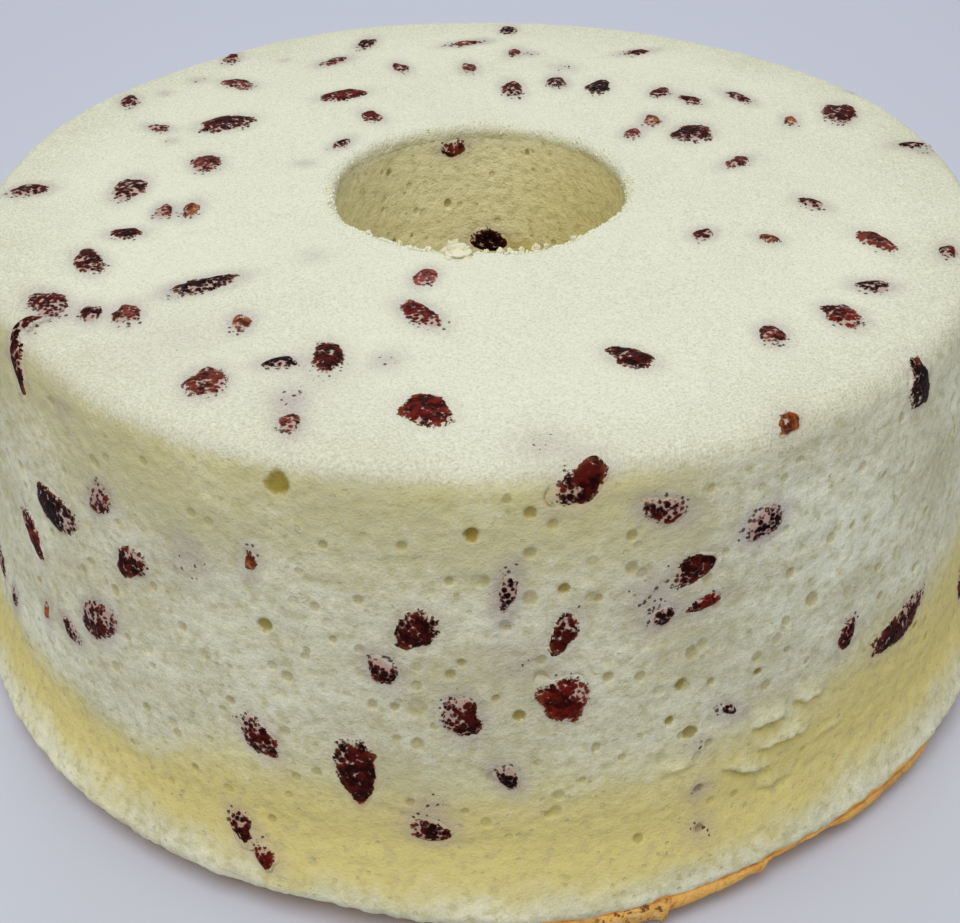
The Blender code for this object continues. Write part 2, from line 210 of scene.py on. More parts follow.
class Graph:
    """The node tree of one material, with its Principled shader."""

    def __init__(self, name: str) -> None:
        """Start the material.

        Args:
            name: The material's name.
        """
        self.material = bpy.data.materials.new(name)
        self.material.use_nodes = True
        self.nodes = self.material.node_tree.nodes
        self.links = self.material.node_tree.links
        self.shader = self.nodes["Principled BSDF"]
        self.place = self.node("ShaderNodeTexCoord", output="Object")

    def node(
        self,
        kind: str,
        settings: dict[str, object] | None = None,
        inputs: dict[str | int, object] | None = None,
        output: str | int = 0,
    ) -> Signal:
        """Add a node and return one of its outputs.

        Args:
            kind: The node's type.
            settings: Its own settings, which are made first.
            inputs: A value or a Signal for each socket, by name or number.
            output: The output to return.

        Returns:
            The output's Signal.
        """
        node = self.nodes.new(kind)
        for key, value in (settings or {}).items():
            setattr(node, key, value)
        for key, value in (inputs or {}).items():
            self.feed(node.inputs[key], value)
        return Signal(self, node.outputs[output])

    def feed(self, socket: bpy.types.NodeSocket, value: object) -> None:
        """Link a Signal to a socket, or set the socket's value."""
        if isinstance(value, Signal):
            self.links.new(value.socket, socket)
        elif isinstance(value, tuple) and len(value) == 3 and socket.type == "RGBA":
            socket.default_value = (*value, 1.0)
        else:
            socket.default_value = value

    def stretched(self, scale: Sequence[float]) -> Signal:
        """Return the place with each axis multiplied, so that a pattern narrows along it."""
        inputs = {0: self.place, 1: tuple(scale)}
        return self.node("ShaderNodeVectorMath", {"operation": "MULTIPLY"}, inputs)

    def noise(self, pitch: float, detail: float = 2.0, rough: float = 0.5, place: Signal | None = None) -> Signal:
        """Return soft noise from 0 to 1, with features about pitch metres wide."""
        inputs = {"Vector": place or self.place, "Scale": 1 / pitch, "Detail": detail, "Roughness": rough}
        return self.node("ShaderNodeTexNoise", {"noise_dimensions": "3D"}, inputs, "Fac")

    def cells(self, pitch: float, place: Signal | None = None) -> tuple[Signal, Signal]:
        """Return the distance to the nearest of random points, in pitches, and that point's own random value."""
        inputs = {"Vector": place or self.place, "Scale": 1 / pitch}
        far = self.node("ShaderNodeTexVoronoi", {"feature": "F1"}, inputs, "Distance")
        colour = Signal(self, far.socket.node.outputs["Color"])
        return far, self.node("ShaderNodeSeparateColor", {}, {0: colour})

    def spots(self, pitch: float, reach: float, share: Signal | float, place: Signal | None = None) -> Signal:
        """Return round spots: 1 in a spot and 0 outside.

        Args:
            pitch: Spacing of the points that spots grow round.
            reach: Radius of the largest spots.
            share: Share of the points that have a spot, which may vary.
            place: Where the pattern is read, if not at the object's own place.

        Returns:
            The spots, whose radius varies from point to point and whose borders are uneven.
        """
        cells, draw = self.cells(pitch, place)
        size = (draw + share - 1.0).rise(0.0, 0.45) * (reach / pitch)
        uneven = (self.noise(0.9 * reach, 1.0, 0.5, place) - 0.5) * (1.3 * reach / pitch)
        return (size - cells + uneven * size.rise(0.0, 0.1)).rise(0.0, 0.35 * reach / pitch)

    def attribute(self, name: str, output: str = "Fac") -> Signal:
        """Return a value that the mesh carries at its points."""
        return self.node("ShaderNodeAttribute", {"attribute_name": name}, output=output)

    def blend(self, share: Signal | float, low: object, high: object, kind: str = "MIX") -> Signal:
        """Return a mix of two colours: low where share is 0 and high where it is 1."""
        node = self.nodes.new("ShaderNodeMix")
        node.data_type = "RGBA"
        node.blend_type = kind
        node.clamp_factor = True
        self.feed(node.inputs[0], share)
        self.feed(node.inputs[6], low)
        self.feed(node.inputs[7], high)
        return Signal(self, node.outputs[2])

    def bump(self, height: Signal, depth: float) -> Signal:
        """Return the normal of a surface whose relief is height times depth metres."""
        inputs = {"Height": height, "Distance": depth, "Strength": 1.0}
        return self.node("ShaderNodeBump", {}, inputs, "Normal")

    def finish(self, **sockets: object) -> bpy.types.Material:
        """Feed the shader's sockets, whose names are given with _ for a space, and return the material."""
        for name, value in sockets.items():
            self.feed(self.shader.inputs[name.replace("_", " ")], value)
        return self.material


@dataclass(frozen=True)
class CrumbFinish:
    """The sponge's fine open crumb: pale on top, with painted shade on the walls, golden where it is closer,
    stained round the fruit.
    """

    pale: Colour = (0.90, 0.915, 0.735)
    # Random tone and painted shade: the walls, the front and the top's rounded edge are mixed towards this colour.
    shady: Colour = (0.61, 0.59, 0.40)
    golden: Colour = (0.78, 0.67, 0.25)
    # Real yellow plus painted light: the hole's crumb, lightened to make up for the hole's dimmer light.
    inner: Colour = (0.98, 0.92, 0.58)
    # Painted shade in the crumb's low grain and tiny dents.
    pore: Colour = (0.54, 0.50, 0.27)
    # Painted shade in the air pores and in the recesses under the torn ledges.
    hollow_shade: Colour = (0.38, 0.29, 0.06)
    stain: Colour = (0.40, 0.31, 0.36)
    speck: Colour = (0.10, 0.035, 0.040)
    baked: Colour = (0.87, 0.50, 0.15)

    def surface(self, g: Graph) -> tuple[Signal, Signal]:
        """Return the crumb's colour and relief, from the values that the mesh carries.

        They are wall, tone, gold, inner, stain, speck, pit, depth and bake.
        """
        wall = g.attribute("wall")
        gold = g.attribute("gold")
        level = g.stretched((1.0, 1.0, 1.15))
        grain = g.noise(1.9 * MM, 4.0, 0.58, level)
        fine = g.noise(0.42 * MM, 2.0, 0.6)
        low = grain.rise(0.54, 0.32)
        # Fine random tone, plus painted shade on the walls where the grain's relief is low.
        mottle = (fine - 0.5) * (1.9 - 0.8 * wall) + (0.5 - grain) * 1.2 * wall
        # The carried tone is random tone plus painted light and shade, more of both on the walls.
        colour = g.blend(g.attribute("tone") * (0.35 + 0.65 * wall) + mottle, self.pale, self.shady)
        # In the hole the crumb is yellower and painted lighter, to make up for its dimmer light.
        colour = g.blend(g.attribute("inner") * 0.95, colour, self.inner)
        colour = g.blend((gold + (0.5 - grain) * 0.9 * gold).rise(0.0, 1.0), colour, self.golden)
        # Painted shade where the grain is low and in the tiny dents, which the relief also sinks.
        tiny = g.spots(1.7 * MM, 0.48 * MM, wall * 0.55, level)
        colour = g.blend((low * (0.14 + 0.34 * wall) + tiny * 0.40).rise(0.0, 1.0), colour, self.pore)
        # Painted shade in the air pores' pits, which the relief also sinks.
        disc = (g.attribute("pit") + (grain - 0.5) * 1.3 + (fine - 0.5) * 0.4).rise(0.30, 0.80)
        colour = g.blend(disc * g.attribute("depth"), colour, self.hollow_shade)
        colour = g.blend(g.attribute("stain") * 0.60, colour, self.stain)
        specks = g.spots(NET_PITCH, 0.38 * MM, g.attribute("speck") * 0.95)
        colour = g.blend(specks * 0.9, colour, self.speck)
        bake = g.attribute("bake")
        colour = g.blend((bake * 1.2 + (grain - 0.5) * 1.6 * bake).rise(0.1, 0.9), colour, self.baked)
        relief = grain * (0.70 - 0.10 * wall) + fine * (0.45 - 0.20 * wall)
        return colour, relief - specks * 0.2 - disc * 0.2 - tiny * 0.12

    def build(self) -> bpy.types.Material:
        """Return the material."""
        g = Graph("sponge_crumb")
        colour, relief = self.surface(g)
        g.finish(Base_Color=colour, Normal=g.bump(relief, 0.7 * MM))
        return g.finish(Roughness=0.95, Specular_IOR_Level=0.15)


@dataclass(frozen=True)
class GrainFinish:
    """Loose bits of pale crumb."""

    name: str = "loose_crumb"
    light: Colour = (0.89, 0.90, 0.73)
    dark: Colour = (0.88, 0.87, 0.66)

    def build(self) -> bpy.types.Material:
        """Return the material."""
        g = Graph(self.name)
        colour = g.blend(g.noise(3 * MM, 2.0).rise(0.4, 0.6), self.light, self.dark)
        g.finish(Base_Color=colour, Normal=g.bump(g.noise(0.4 * MM, 1.0), 0.1 * MM))
        return g.finish(Roughness=0.95, Specular_IOR_Level=0.2)


@dataclass(frozen=True)
class CrustFinish:
    """The baked crust under the cake: golden orange, browner in patches, with a little crumb stuck to it."""

    light: Colour = (0.88, 0.49, 0.13)
    brown: Colour = (0.62, 0.27, 0.06)
    flour: Colour = (0.88, 0.66, 0.28)
    # Painted shade in the hollows between the clump's lumps.
    clump_shade: Colour = (0.16, 0.055, 0.015)

    def build(self) -> bpy.types.Material:
        """Return the material."""
        g = Graph("baked_crust")
        patches = g.noise(7 * MM, 4.0, 0.6)
        fine = g.noise(0.9 * MM, 3.0, 0.6)
        clump = g.attribute("clump")
        colour = g.blend((patches * 0.75 + fine * 0.25).rise(0.50, 0.68), self.light, self.brown)
        lumps = g.noise(1.8 * MM, 2.0, 0.5)
        colour = g.blend(lumps.rise(0.50, 0.62) * (0.15 + 0.45 * clump), colour, self.flour)
        # Painted shade in the hollows between the clump's lumps, where the relief is lowest.
        colour = g.blend((lumps * 0.4 + fine * 0.6).rise(0.45, 0.37) * clump * 0.9, colour, self.clump_shade)
        g.finish(Base_Color=colour, Normal=g.bump(fine + lumps * (0.4 + clump), 0.6 * MM))
        return g.finish(Roughness=0.8, Specular_IOR_Level=0.2)


@dataclass(frozen=True)
class CranberryFinish:
    """Dried cranberry: wrinkled, darkly red and a little glossy, with crumb stuck over part of each piece."""

    crumb: CrumbFinish = field(default_factory=CrumbFinish)
    haze: Colour = (0.50, 0.26, 0.22)
    thin: Colour = (0.30, 0.080, 0.022)

    def build(self) -> bpy.types.Material:
        """Return the material, which reads each piece's tint, film and rim values besides the crumb's."""
        g = Graph("dried_cranberry")
        tint = g.attribute("tint", "Color")
        film = g.attribute("film")
        rim = g.attribute("rim")
        crumb, relief = self.crumb.surface(g)
        shade = g.noise(1.7 * MM, 3.0, 0.6)
        ragged = g.noise(0.55 * MM, 2.0, 0.6).rise(0.28, 0.72)
        patch = g.noise(2.0 * MM, 2.0, 0.5).rise(0.28, 0.72)
        far, draw = g.cells(NET_PITCH)
        level = 1.16 - far * 1.10 + (draw - 0.5) * 0.40 + (ragged - 0.5) * 0.30 + (patch - 0.5) * 0.55
        dark = g.blend(1.0, tint, (0.20, 0.18, 0.18), "MULTIPLY")
        fruit = g.blend(shade.rise(0.40, 0.62), dark, tint)
        fruit = g.blend(rim.rise(0.68, 1.02) * shade.rise(0.38, 0.60) * 0.42, fruit, self.thin)
        fruit = g.blend((film - level).rise(-0.28, 0.05) * 0.30, fruit, self.haze)
        lace = (film - level).rise(-0.07, 0.09)
        edge = (rim + (patch - 0.5) * 0.26 + (ragged - 0.5) * (0.10 + film * 0.45)).rise(0.95, 1.03)
        cover = 1 - (1 - lace) * (1 - edge)
        colour = g.blend(cover, fruit, g.blend((1 - rim.rise(0.80, 1.10)) * 0.62, crumb, self.haze))
        wrinkles = shade * 1.2 + ragged * 0.10
        height = wrinkles + cover * (0.45 + relief - wrinkles)
        g.finish(Base_Color=colour, Normal=g.bump(height, 0.6 * MM), Roughness=0.55 + cover * 0.4)
        return g.finish(Specular_IOR_Level=0.04)


# ---------------------------------------------------------------------------------------------------------
# The cake's form.


@dataclass(frozen=True)
class CakeForm:
    """The measures of the sponge, as the solids have them."""

    height: float = 78 * MM
    top_radius: float = 84 * MM
    foot_radius: float = 92 * MM
    lip_radius: float = 97 * MM
    hole_top_radius: float = 25 * MM
    hole_foot_radius: float = 22.5 * MM
    flare_top: float = 17 * MM
    lip_height: float = 6 * MM
    rest_radius: float = 79 * MM
    top_edge_round: float = 4.5 * MM
    hole_edge_round: float = 2 * MM
    crust_thickness: float = 1.6 * MM
    swell_height: float = 0.4 * MM
    swell_pitch: float = 12 * MM
    lip_wave: float = 0.8 * MM
    torn_bearings: tuple[float, float] = (272, 326)
    lip_rise: float = 0.8 * MM
    flare_power: float = 1.7
    torn_fades: tuple[float, float] = (5, 30)

    @property
    def side_top(self) -> float:
        """Return the height where the side's straight part ends and the rounded edge begins."""
        return self.height - self.top_edge_round

    def swell(self, bearing: Array, radius: Array, height: Array) -> Array:
        """Return how far the crumb stands out: the mean of three sine waves of bearing, radius and height."""
        across = radius / self.swell_pitch
        climb = height / self.swell_pitch
        first = np.sin(3 * bearing + climb)
        second = np.sin(5 * bearing - 1.4 * across + 2)
        third = np.sin(8 * bearing + 1.2 * climb + 0.8 * across + 4)
        return self.swell_height * (first + second + third) / 3

    def side_radius(self, bearing: Array, height: Array) -> Array:
        """Return the side's radius: a straight line from the foot's to the top's, plus the swell."""
        share = (height - self.flare_top) / (self.height - self.flare_top)
        radius = self.foot_radius + (self.top_radius - self.foot_radius) * share
        return radius + self.swell(bearing, radius, height)

    def hole_radius(self, bearing: Array, height: Array) -> Array:
        """Return the hole's radius: a straight line from its foot's to its top's, less the swell."""
        radius = self.hole_foot_radius + (self.hole_top_radius - self.hole_foot_radius) * height / self.height
        return radius - self.swell(bearing, radius, height)

    def top_height(self, bearing: Array, radius: Array) -> Array:
        """Return the height of the top: the cake's height, plus the swell and less its most."""
        return self.height + self.swell(bearing, radius, self.height) - self.swell_height

    def torn_share(self, bearing: Array) -> Array:
        """Return 0 where crumb covers the crust's edge and up to 1 where it is torn back from it."""
        degrees = np.degrees(bearing) % 360
        begin = (degrees - self.torn_bearings[0]) / self.torn_fades[0]
        end = (self.torn_bearings[1] - degrees) / self.torn_fades[1]
        ragged = 0.75 + 0.25 * np.sin(9 * bearing) * np.sin(14 * bearing + 1)
        return ragged * np.clip(np.minimum(begin, end), 0.0, 1.0)

    def lip(self, bearing: Array) -> tuple[Array, Array]:
        """Return the lip's radius and height, each a circle's with a slow wave on it."""
        radius = self.lip_radius + self.lip_wave * np.sin(5 * bearing) * np.sin(2 * bearing + 1)
        height = self.lip_height + self.lip_wave * np.sin(7 * bearing + 2) * np.sin(3 * bearing)
        return radius, height

    def top_pose(self, bearing: float, radius: float) -> Matrix:
        """Return the frame of a place on the top: X along +X and Z up out of the crumb."""
        height = float(self.top_height(bearing, radius))
        return Matrix.Translation((radius * math.cos(bearing), radius * math.sin(bearing), height))

    def side_reach(self, bearing: Array, height: Array) -> Array:
        """Return the side's radius with the flare, whose share of the lip's excess is (the way down)^1.7."""
        share = (self.flare_top - height) / (self.flare_top - self.lip_height - self.lip_rise)
        flare = (self.lip_radius - self.foot_radius) * np.clip(share, 0, 1) ** self.flare_power
        return self.side_radius(bearing, height) + flare

    def wall_pose(self, bearing: float, radius: float, height: float, slope: float, outward: int) -> Matrix:
        """Return the frame of a place on a wall: X level, Y up the wall and Z out of the crumb."""
        out = outward * math.cos(slope)
        normal = Vector((out * math.cos(bearing), out * math.sin(bearing), math.sin(slope)))
        level = Vector((-math.sin(bearing), math.cos(bearing), 0.0)) * outward
        axes = Matrix((level, normal.cross(level), normal)).transposed()
        spot = (radius * math.cos(bearing), radius * math.sin(bearing), height)
        return Matrix.Translation(spot) @ axes.to_4x4()

    @property
    def taper(self) -> float:
        """Return the angle of the side's straight part from upright."""
        return math.atan2(self.foot_radius - self.top_radius, self.height - self.flare_top)

    def side_pose(self, bearing: float, height: float) -> Matrix:
        """Return the frame of a place on the side, or on the rounded edge above it."""
        if height > self.side_top:
            turn = math.asin((height - self.side_top) / self.top_edge_round)
            reach = float(self.side_radius(bearing, self.side_top)) - self.top_edge_round * (1 - math.cos(turn))
            return self.wall_pose(bearing, reach, height, turn, 1)
        return self.wall_pose(bearing, float(self.side_reach(bearing, height)), height, self.taper, 1)

    def draped(self, pose: Matrix, local: Array) -> Array:
        """Return points laid along the side and over its rounded edge, as if a flat patch were bent on to it.

        The arc is measured up the side from where the edge begins. Below that a point is on the side, above it
        the edge turns through arc / its radius, and past a quarter turn the point is on the top.

        Args:
            pose: The patch's frame, from side_pose.
            local: Points in that frame.

        Returns:
            The points in the cake's frame.
        """
        spot, size, slope = pose.translation, self.top_edge_round, self.taper
        first = (spot.z - self.side_top) / math.cos(slope)
        if first > 0:
            first = size * math.asin(min((spot.z - self.side_top) / size, 1.0))
        arc = first + local[..., 1]
        bearing = math.atan2(spot.y, spot.x) + local[..., 0] / math.hypot(spot.x, spot.y)
        turn = np.clip(arc / size, 0, math.pi / 2)
        height = self.side_top + np.minimum(arc, 0) * math.cos(slope)
        radius = self.side_reach(bearing, height) - size * (1 - np.cos(turn)) - np.clip(arc - size * math.pi / 2, 0, 1)
        tilt = np.where(arc > 0, turn, slope)
        radius = radius + local[..., 2] * np.cos(tilt)
        return ring(bearing, radius, height + size * np.sin(turn) + local[..., 2] * np.sin(tilt))

    def hole_pose(self, bearing: float, height: float) -> Matrix:
        """Return the frame of a place on the wall of the hole."""
        slope = math.atan2(self.hole_top_radius - self.hole_foot_radius, self.height)
        return self.wall_pose(bearing, float(self.hole_radius(bearing, height)), height, slope, -1)


# ---------------------------------------------------------------------------------------------------------
# The fruit.


class Tint(Enum):
    """The colours that the dried pieces come in."""

    MAROON = (0.082, 0.007, 0.004)
    RED = (0.165, 0.010, 0.005)
    BROWN = (0.21, 0.036, 0.020)
    ORANGE = (0.46, 0.120, 0.030)
    PINK = (0.34, 0.070, 0.055)
    INK = (0.022, 0.004, 0.004)


LETTERS = {"m": Tint.MAROON, "r": Tint.RED, "b": Tint.BROWN, "o": Tint.ORANGE, "p": Tint.PINK, "i": Tint.INK}


class Zone(Enum):
    """The faces of the cake that fruit shows in."""

    TOP = "top"
    SIDE = "side"
    HOLE = "hole"
    FAR = "far"


@dataclass(frozen=True)
class Fruit:
    """One piece of cranberry: where it shows, its outline, its tint and how much crumb covers it."""

    zone: Zone
    pose: Matrix
    length: float
    width: float
    turn: float
    tint: Tint
    lace: float
    lace_turn: float
    seed: int

    def outline_frame(self) -> Array:
        """Return the 4x4 matrix of the piece's own frame, with X along its length."""
        return np.array(self.pose @ Matrix.Rotation(math.radians(self.turn), 4, "Z"))


# Dried cranberries, larger pieces and then small chips: bearing, place, length, width, turn, the letter of
# the tint, and tenths of crumb laced over the piece.
TOP_BERRIES = (
    (136, 66, 7.0, 4.5, 147, "b", 4), (124, 47, 9.0, 5.0, 28, "r", 3), (151, 54, 11.0, 7.0, 27, "m", 3),
    (170, 49, 7.0, 5.0, 100, "b", 5), (181, 77, 6.5, 4.5, 19, "m", 6), (181, 60, 9.0, 5.5, 80, "m", 5),
    (204, 67, 8.0, 4.5, 116, "m", 5), (81, 43, 8.0, 4.2, 96, "m", 4), (61, 49, 7.5, 4.4, 78, "i", 2),
    (27, 44, 8.5, 7.0, 49, "m", 4), (22, 73, 9.5, 6.0, 80, "m", 4), (340, 67, 7.5, 4.1, 121, "b", 2),
    (212, 76, 8.5, 5.1, 127, "m", 6), (220.1, 54.8, 10.8, 4.4, 28, "i", 5), (249, 60, 8.0, 4.6, 96, "m", 2),
    (239, 73, 7.0, 5.5, 95, "b", 5), (259, 46, 8.5, 4.3, 126, "r", 5), (264, 70, 7.8, 6.6, 130, "r", 1),
    (290, 61, 6.8, 4.5, 145, "m", 4), (319, 70, 6.8, 5.0, 116, "r", 5),
)
SIDE_BERRIES = (
    (218.1, 45.3, 9.0, 4.2, 134, "r", 2), (223.5, 53.9, 10.5, 6.2, 178, "i", 1), (235, 53, 6.4, 4.6, 38, "m", 3),
    (229.9, 39.2, 8.6, 6.2, 45, "m", 6), (249, 31, 7.0, 4.4, 130, "m", 5), (258.4, 28.6, 11.0, 6.2, 98, "m", 0),
    (264, 54, 6.4, 5.2, 48, "m", 2), (268, 40, 7.0, 5.0, 100, "m", 5), (277.1, 42, 7.4, 6.4, 101, "r", 2),
    (277, 53, 6.8, 3.2, 76, "m", 2), (278.5, 75.4, 7.6, 4.4, 41, "m", 2), (286, 70, 6.2, 3.6, 158, "m", 6),
    (296, 64, 6.2, 4.3, 20, "i", 8), (289, 60, 6.4, 4.2, 12, "m", 1), (307, 38, 5.4, 3.2, 75, "m", 3),
    (315.7, 32.2, 14.0, 6.0, 15, "m", 3), (265, 19, 6.0, 3.6, 172, "m", 5), (317, 72.8, 8.2, 5.0, 104, "i", 1),
    (217.2, 73.9, 8.4, 3.4, 117, "m", 1),
)
HOLE_BERRIES = (
    (101, 73, 4.6, 3.0, 8, "b", 4),
    (86, 54, 8.0, 4.5, 178, "i", 2),
)
TOP_CHIPS = (
    (130, 79, 5.0, 3.0, 83, "r", 6), (109, 72, 6.0, 3.4, 70, "m", 5), (92, 68, 6.5, 2.6, 16, "b", 7),
    (117, 65, 6.0, 2.8, 41, "b", 6), (106, 57, 5.0, 3.0, 106, "b", 5), (92, 54, 5.0, 2.8, 96, "b", 5),
    (151, 77, 5.5, 3.2, 101, "m", 5), (125, 35, 5.5, 3.6, 116, "r", 4), (158, 64, 4.2, 2.8, 155, "b", 6),
    (191, 49, 5.2, 2.8, 84, "o", 5), (197, 60, 5.2, 3.6, 0, "m", 5), (256, 35, 5.6, 3.6, 76, "p", 4),
    (85, 76, 5.0, 3.4, 89, "i", 4), (83, 62, 4.4, 2.6, 78, "b", 5), (62, 70, 6.2, 2.4, 20, "m", 5),
    (71, 48, 5.2, 3.6, 97, "m", 6), (48, 53, 5.0, 3.6, 74, "m", 5), (41, 54, 5.2, 3.2, 117, "m", 5),
    (36, 62, 6.0, 2.8, 121, "m", 6), (38, 41, 5.2, 3.4, 78, "o", 5), (9, 46, 5.6, 3.2, 48, "b", 5),
    (23, 63, 4.2, 2.4, 81, "o", 4), (10, 79, 5.0, 2.2, 9, "m", 5), (350, 56, 4.6, 2.8, 130, "m", 5),
    (331, 41, 4.0, 3.0, 52, "m", 5), (335, 51, 3.4, 2.6, 141, "o", 4), (340, 78, 4.2, 2.4, 68, "r", 5),
    (328, 70, 5.2, 3.4, 175, "i", 6), (220, 68, 5.6, 4.0, 100, "b", 5), (233, 58, 4.4, 2.8, 90, "o", 5),
    (244, 64, 4.6, 2.8, 8, "i", 5), (251, 77, 4.2, 2.6, 99, "b", 6), (309, 66, 5.4, 3.6, 82, "b", 5),
    (146, 30, 4.2, 2.4, 58, "m", 5), (217, 72, 4.8, 3.2, 100, "m", 5), (190.4, 53.5, 4.6, 2.8, 95, "b", 6),
    (35, 34.5, 4.2, 2.8, 60, "p", 5),
)
SIDE_CHIPS = (
    (231, 61, 5.2, 3.8, 60, "m", 6), (224.9, 33.2, 4.8, 3.2, 150, "m", 6), (261, 47, 5.0, 3.6, 120, "m", 6),
    (272, 60, 5.6, 2.2, 82, "i", 7), (290, 54, 4.8, 2.2, 10, "r", 3), (247, 14, 4.8, 3.2, 130, "m", 5),
    (272, 29, 4.4, 2.8, 124, "i", 7), (249, 61, 3.0, 1.6, 83, "o", 4), (293, 34, 3.0, 1.6, 150, "i", 6),
    (249.7, 11, 3.6, 2.2, 150, "r", 5), (299, 77.1, 3.8, 2.6, 33, "o", 2), (215, 77.8, 5.4, 2.2, 95, "m", 4),
    (220, 32, 3.4, 1.6, 80, "o", 4), (210, 24, 4.6, 2.4, 70, "i", 7), (286, 53.3, 3.2, 2.4, 20, "i", 6),
)

# Places where juice has stained the crumb and no piece shows: bearing, place, size and strength in tenths.
STAINS = {
    Zone.TOP: (
        (139, 74, 4, 7), (146, 74, 3, 7), (124, 71, 3, 6), (162, 59, 3, 6), (165, 32, 4, 6), (191, 53, 4, 5),
        (225, 37, 5, 4), (89, 69, 3, 6), (80, 62, 4, 8), (72, 56, 6, 6), (28, 82, 3, 8), (8, 80, 4, 8),
        (217, 72, 3, 7), (219, 59, 4, 9), (249, 72, 5, 9), (257, 59, 5, 7), (276, 78, 8, 5), (230, 67, 14, 3),
        (249, 66, 14, 3),
    ),
    Zone.SIDE: (
        (210, 24, 4, 9), (220, 31, 3, 6), (242, 58, 8, 6), (265, 23, 6, 8), (285, 57, 8, 7), (290, 29, 4, 6),
        (290, 21, 4, 8), (290, 14, 5, 7), (273, 49, 7, 4), (226, 72, 5, 5),
    ),
}

# Places where the crust hangs lower: first and last bearing, fade, how far down and how far out.
CRUST_HANGS = (
    (280, 285.6, 0.8, 2.3, 1.2),
    (286.5, 295.5, 1.8, 1.3, 1.1),
    (309, 318, 6.5, 1.8, 0.9),
    (298, 306, 4.0, 0.2, 0.5),
    (271, 279, 3.0, 0.5, 0.6),
)

# Torn ledges in the side: bearing, height of the lower lip, length, height, rise along the lip, strength.
LEDGES = (
    (297.6, 28.6, 6.4, 4.4, -0.05, 1.0),
    (302.3, 29.8, 6.0, 3.6, -0.15, 0.9),
    (299.6, 24.3, 10.5, 3.4, 0.02, 1.0),
    (295.2, 21.6, 8.5, 3.0, -0.30, 1.0),
    (298.5, 16.8, 7.0, 2.4, 0.05, 0.55),
    (288.0, 25.5, 6.0, 2.0, 0.10, 0.35),
    (305.5, 20.5, 6.0, 2.2, 0.10, 0.4),
)

# Air pores in the side: bearing, height, width and depth in tenths.
PORES = (
    (274, 59, 2.1, 5), (264, 41, 3.0, 4), (275, 46, 2.2, 5), (281, 45, 1.7, 6), (273, 40, 1.7, 9), (267, 47, 1.5, 6),
    (260, 41, 1.4, 5), (262, 41, 1.3, 6), (277, 60, 1.6, 9), (280, 58, 1.4, 6), (259, 58, 1.4, 5), (270, 62, 1.6, 5),
    (268, 49, 1.2, 6), (267, 62, 1.2, 6), (275, 49, 1.4, 5), (283, 62, 1.8, 5), (271, 43, 1.2, 6), (264, 45, 1.5, 4),
    (259, 50, 1.3, 4), (289, 46, 2.0, 5), (284, 44, 1.6, 5), (288, 41, 1.9, 9), (291, 40, 1.3, 6), (287, 35, 1.4, 9),
    (289, 32, 2.1, 9), (297, 36, 1.8, 5), (296, 39, 1.2, 9), (299, 46, 1.5, 5), (302, 48, 2.3, 6), (280, 33, 1.5, 5),
    (291, 29, 1.3, 5), (284, 15, 1.5, 6), (274, 72, 1.7, 8), (276, 70, 1.5, 5), (272, 74, 1.3, 5), (269, 69, 2.0, 10),
    (283, 67, 1.6, 6), (252, 74, 3.4, 12), (252, 43, 1.8, 5), (250, 51, 2.2, 9), (274, 66, 1.6, 5), (284, 61, 1.7, 4),
    (255, 56, 1.4, 5), (243, 66, 1.5, 4), (236, 28, 1.6, 5), (228, 47, 1.5, 4), (304, 57, 1.7, 5), (311, 47, 1.5, 4),
    (246, 36, 1.4, 5), (241, 46, 1.5, 4), (256, 66, 1.3, 5), (263, 67, 1.4, 5), (298, 70, 1.3, 4), (308, 66, 1.4, 4),
    (276, 74, 2.3, 10), (290, 21, 1.6, 9), (290, 14, 1.4, 9),
)

# Flakes on the rim of the hole: bearing, length along the rim, depth, height and how far out from the rim.
RIM_FLAKES = (
    (262.6, 3.8, 3.4, 0.7, 1.2),
    (261.9, 4.0, 2.2, 1.2, 0.1),
    (260.6, 2.2, 1.7, 1.7, -0.3),
    (264.4, 1.8, 1.5, 0.7, 0.3),
    (226, 1.0, 0.8, 0.45, 0.3),
    (240, 0.8, 0.7, 0.45, 0.3),
    (251.5, 1.0, 0.8, 0.5, 0.3),
    (272, 0.9, 0.7, 0.5, 0.3),
    (277.2, 1.0, 0.8, 0.55, 0.2),
    (280.3, 0.7, 0.6, 0.5, 0.2),
    (284.6, 0.8, 0.7, 0.5, 0.3),
    (290.1, 1.2, 0.8, 0.6, 0.2),
    (294.0, 0.9, 0.7, 0.55, 0.2),
    (305, 0.8, 0.7, 0.45, 0.3),
)


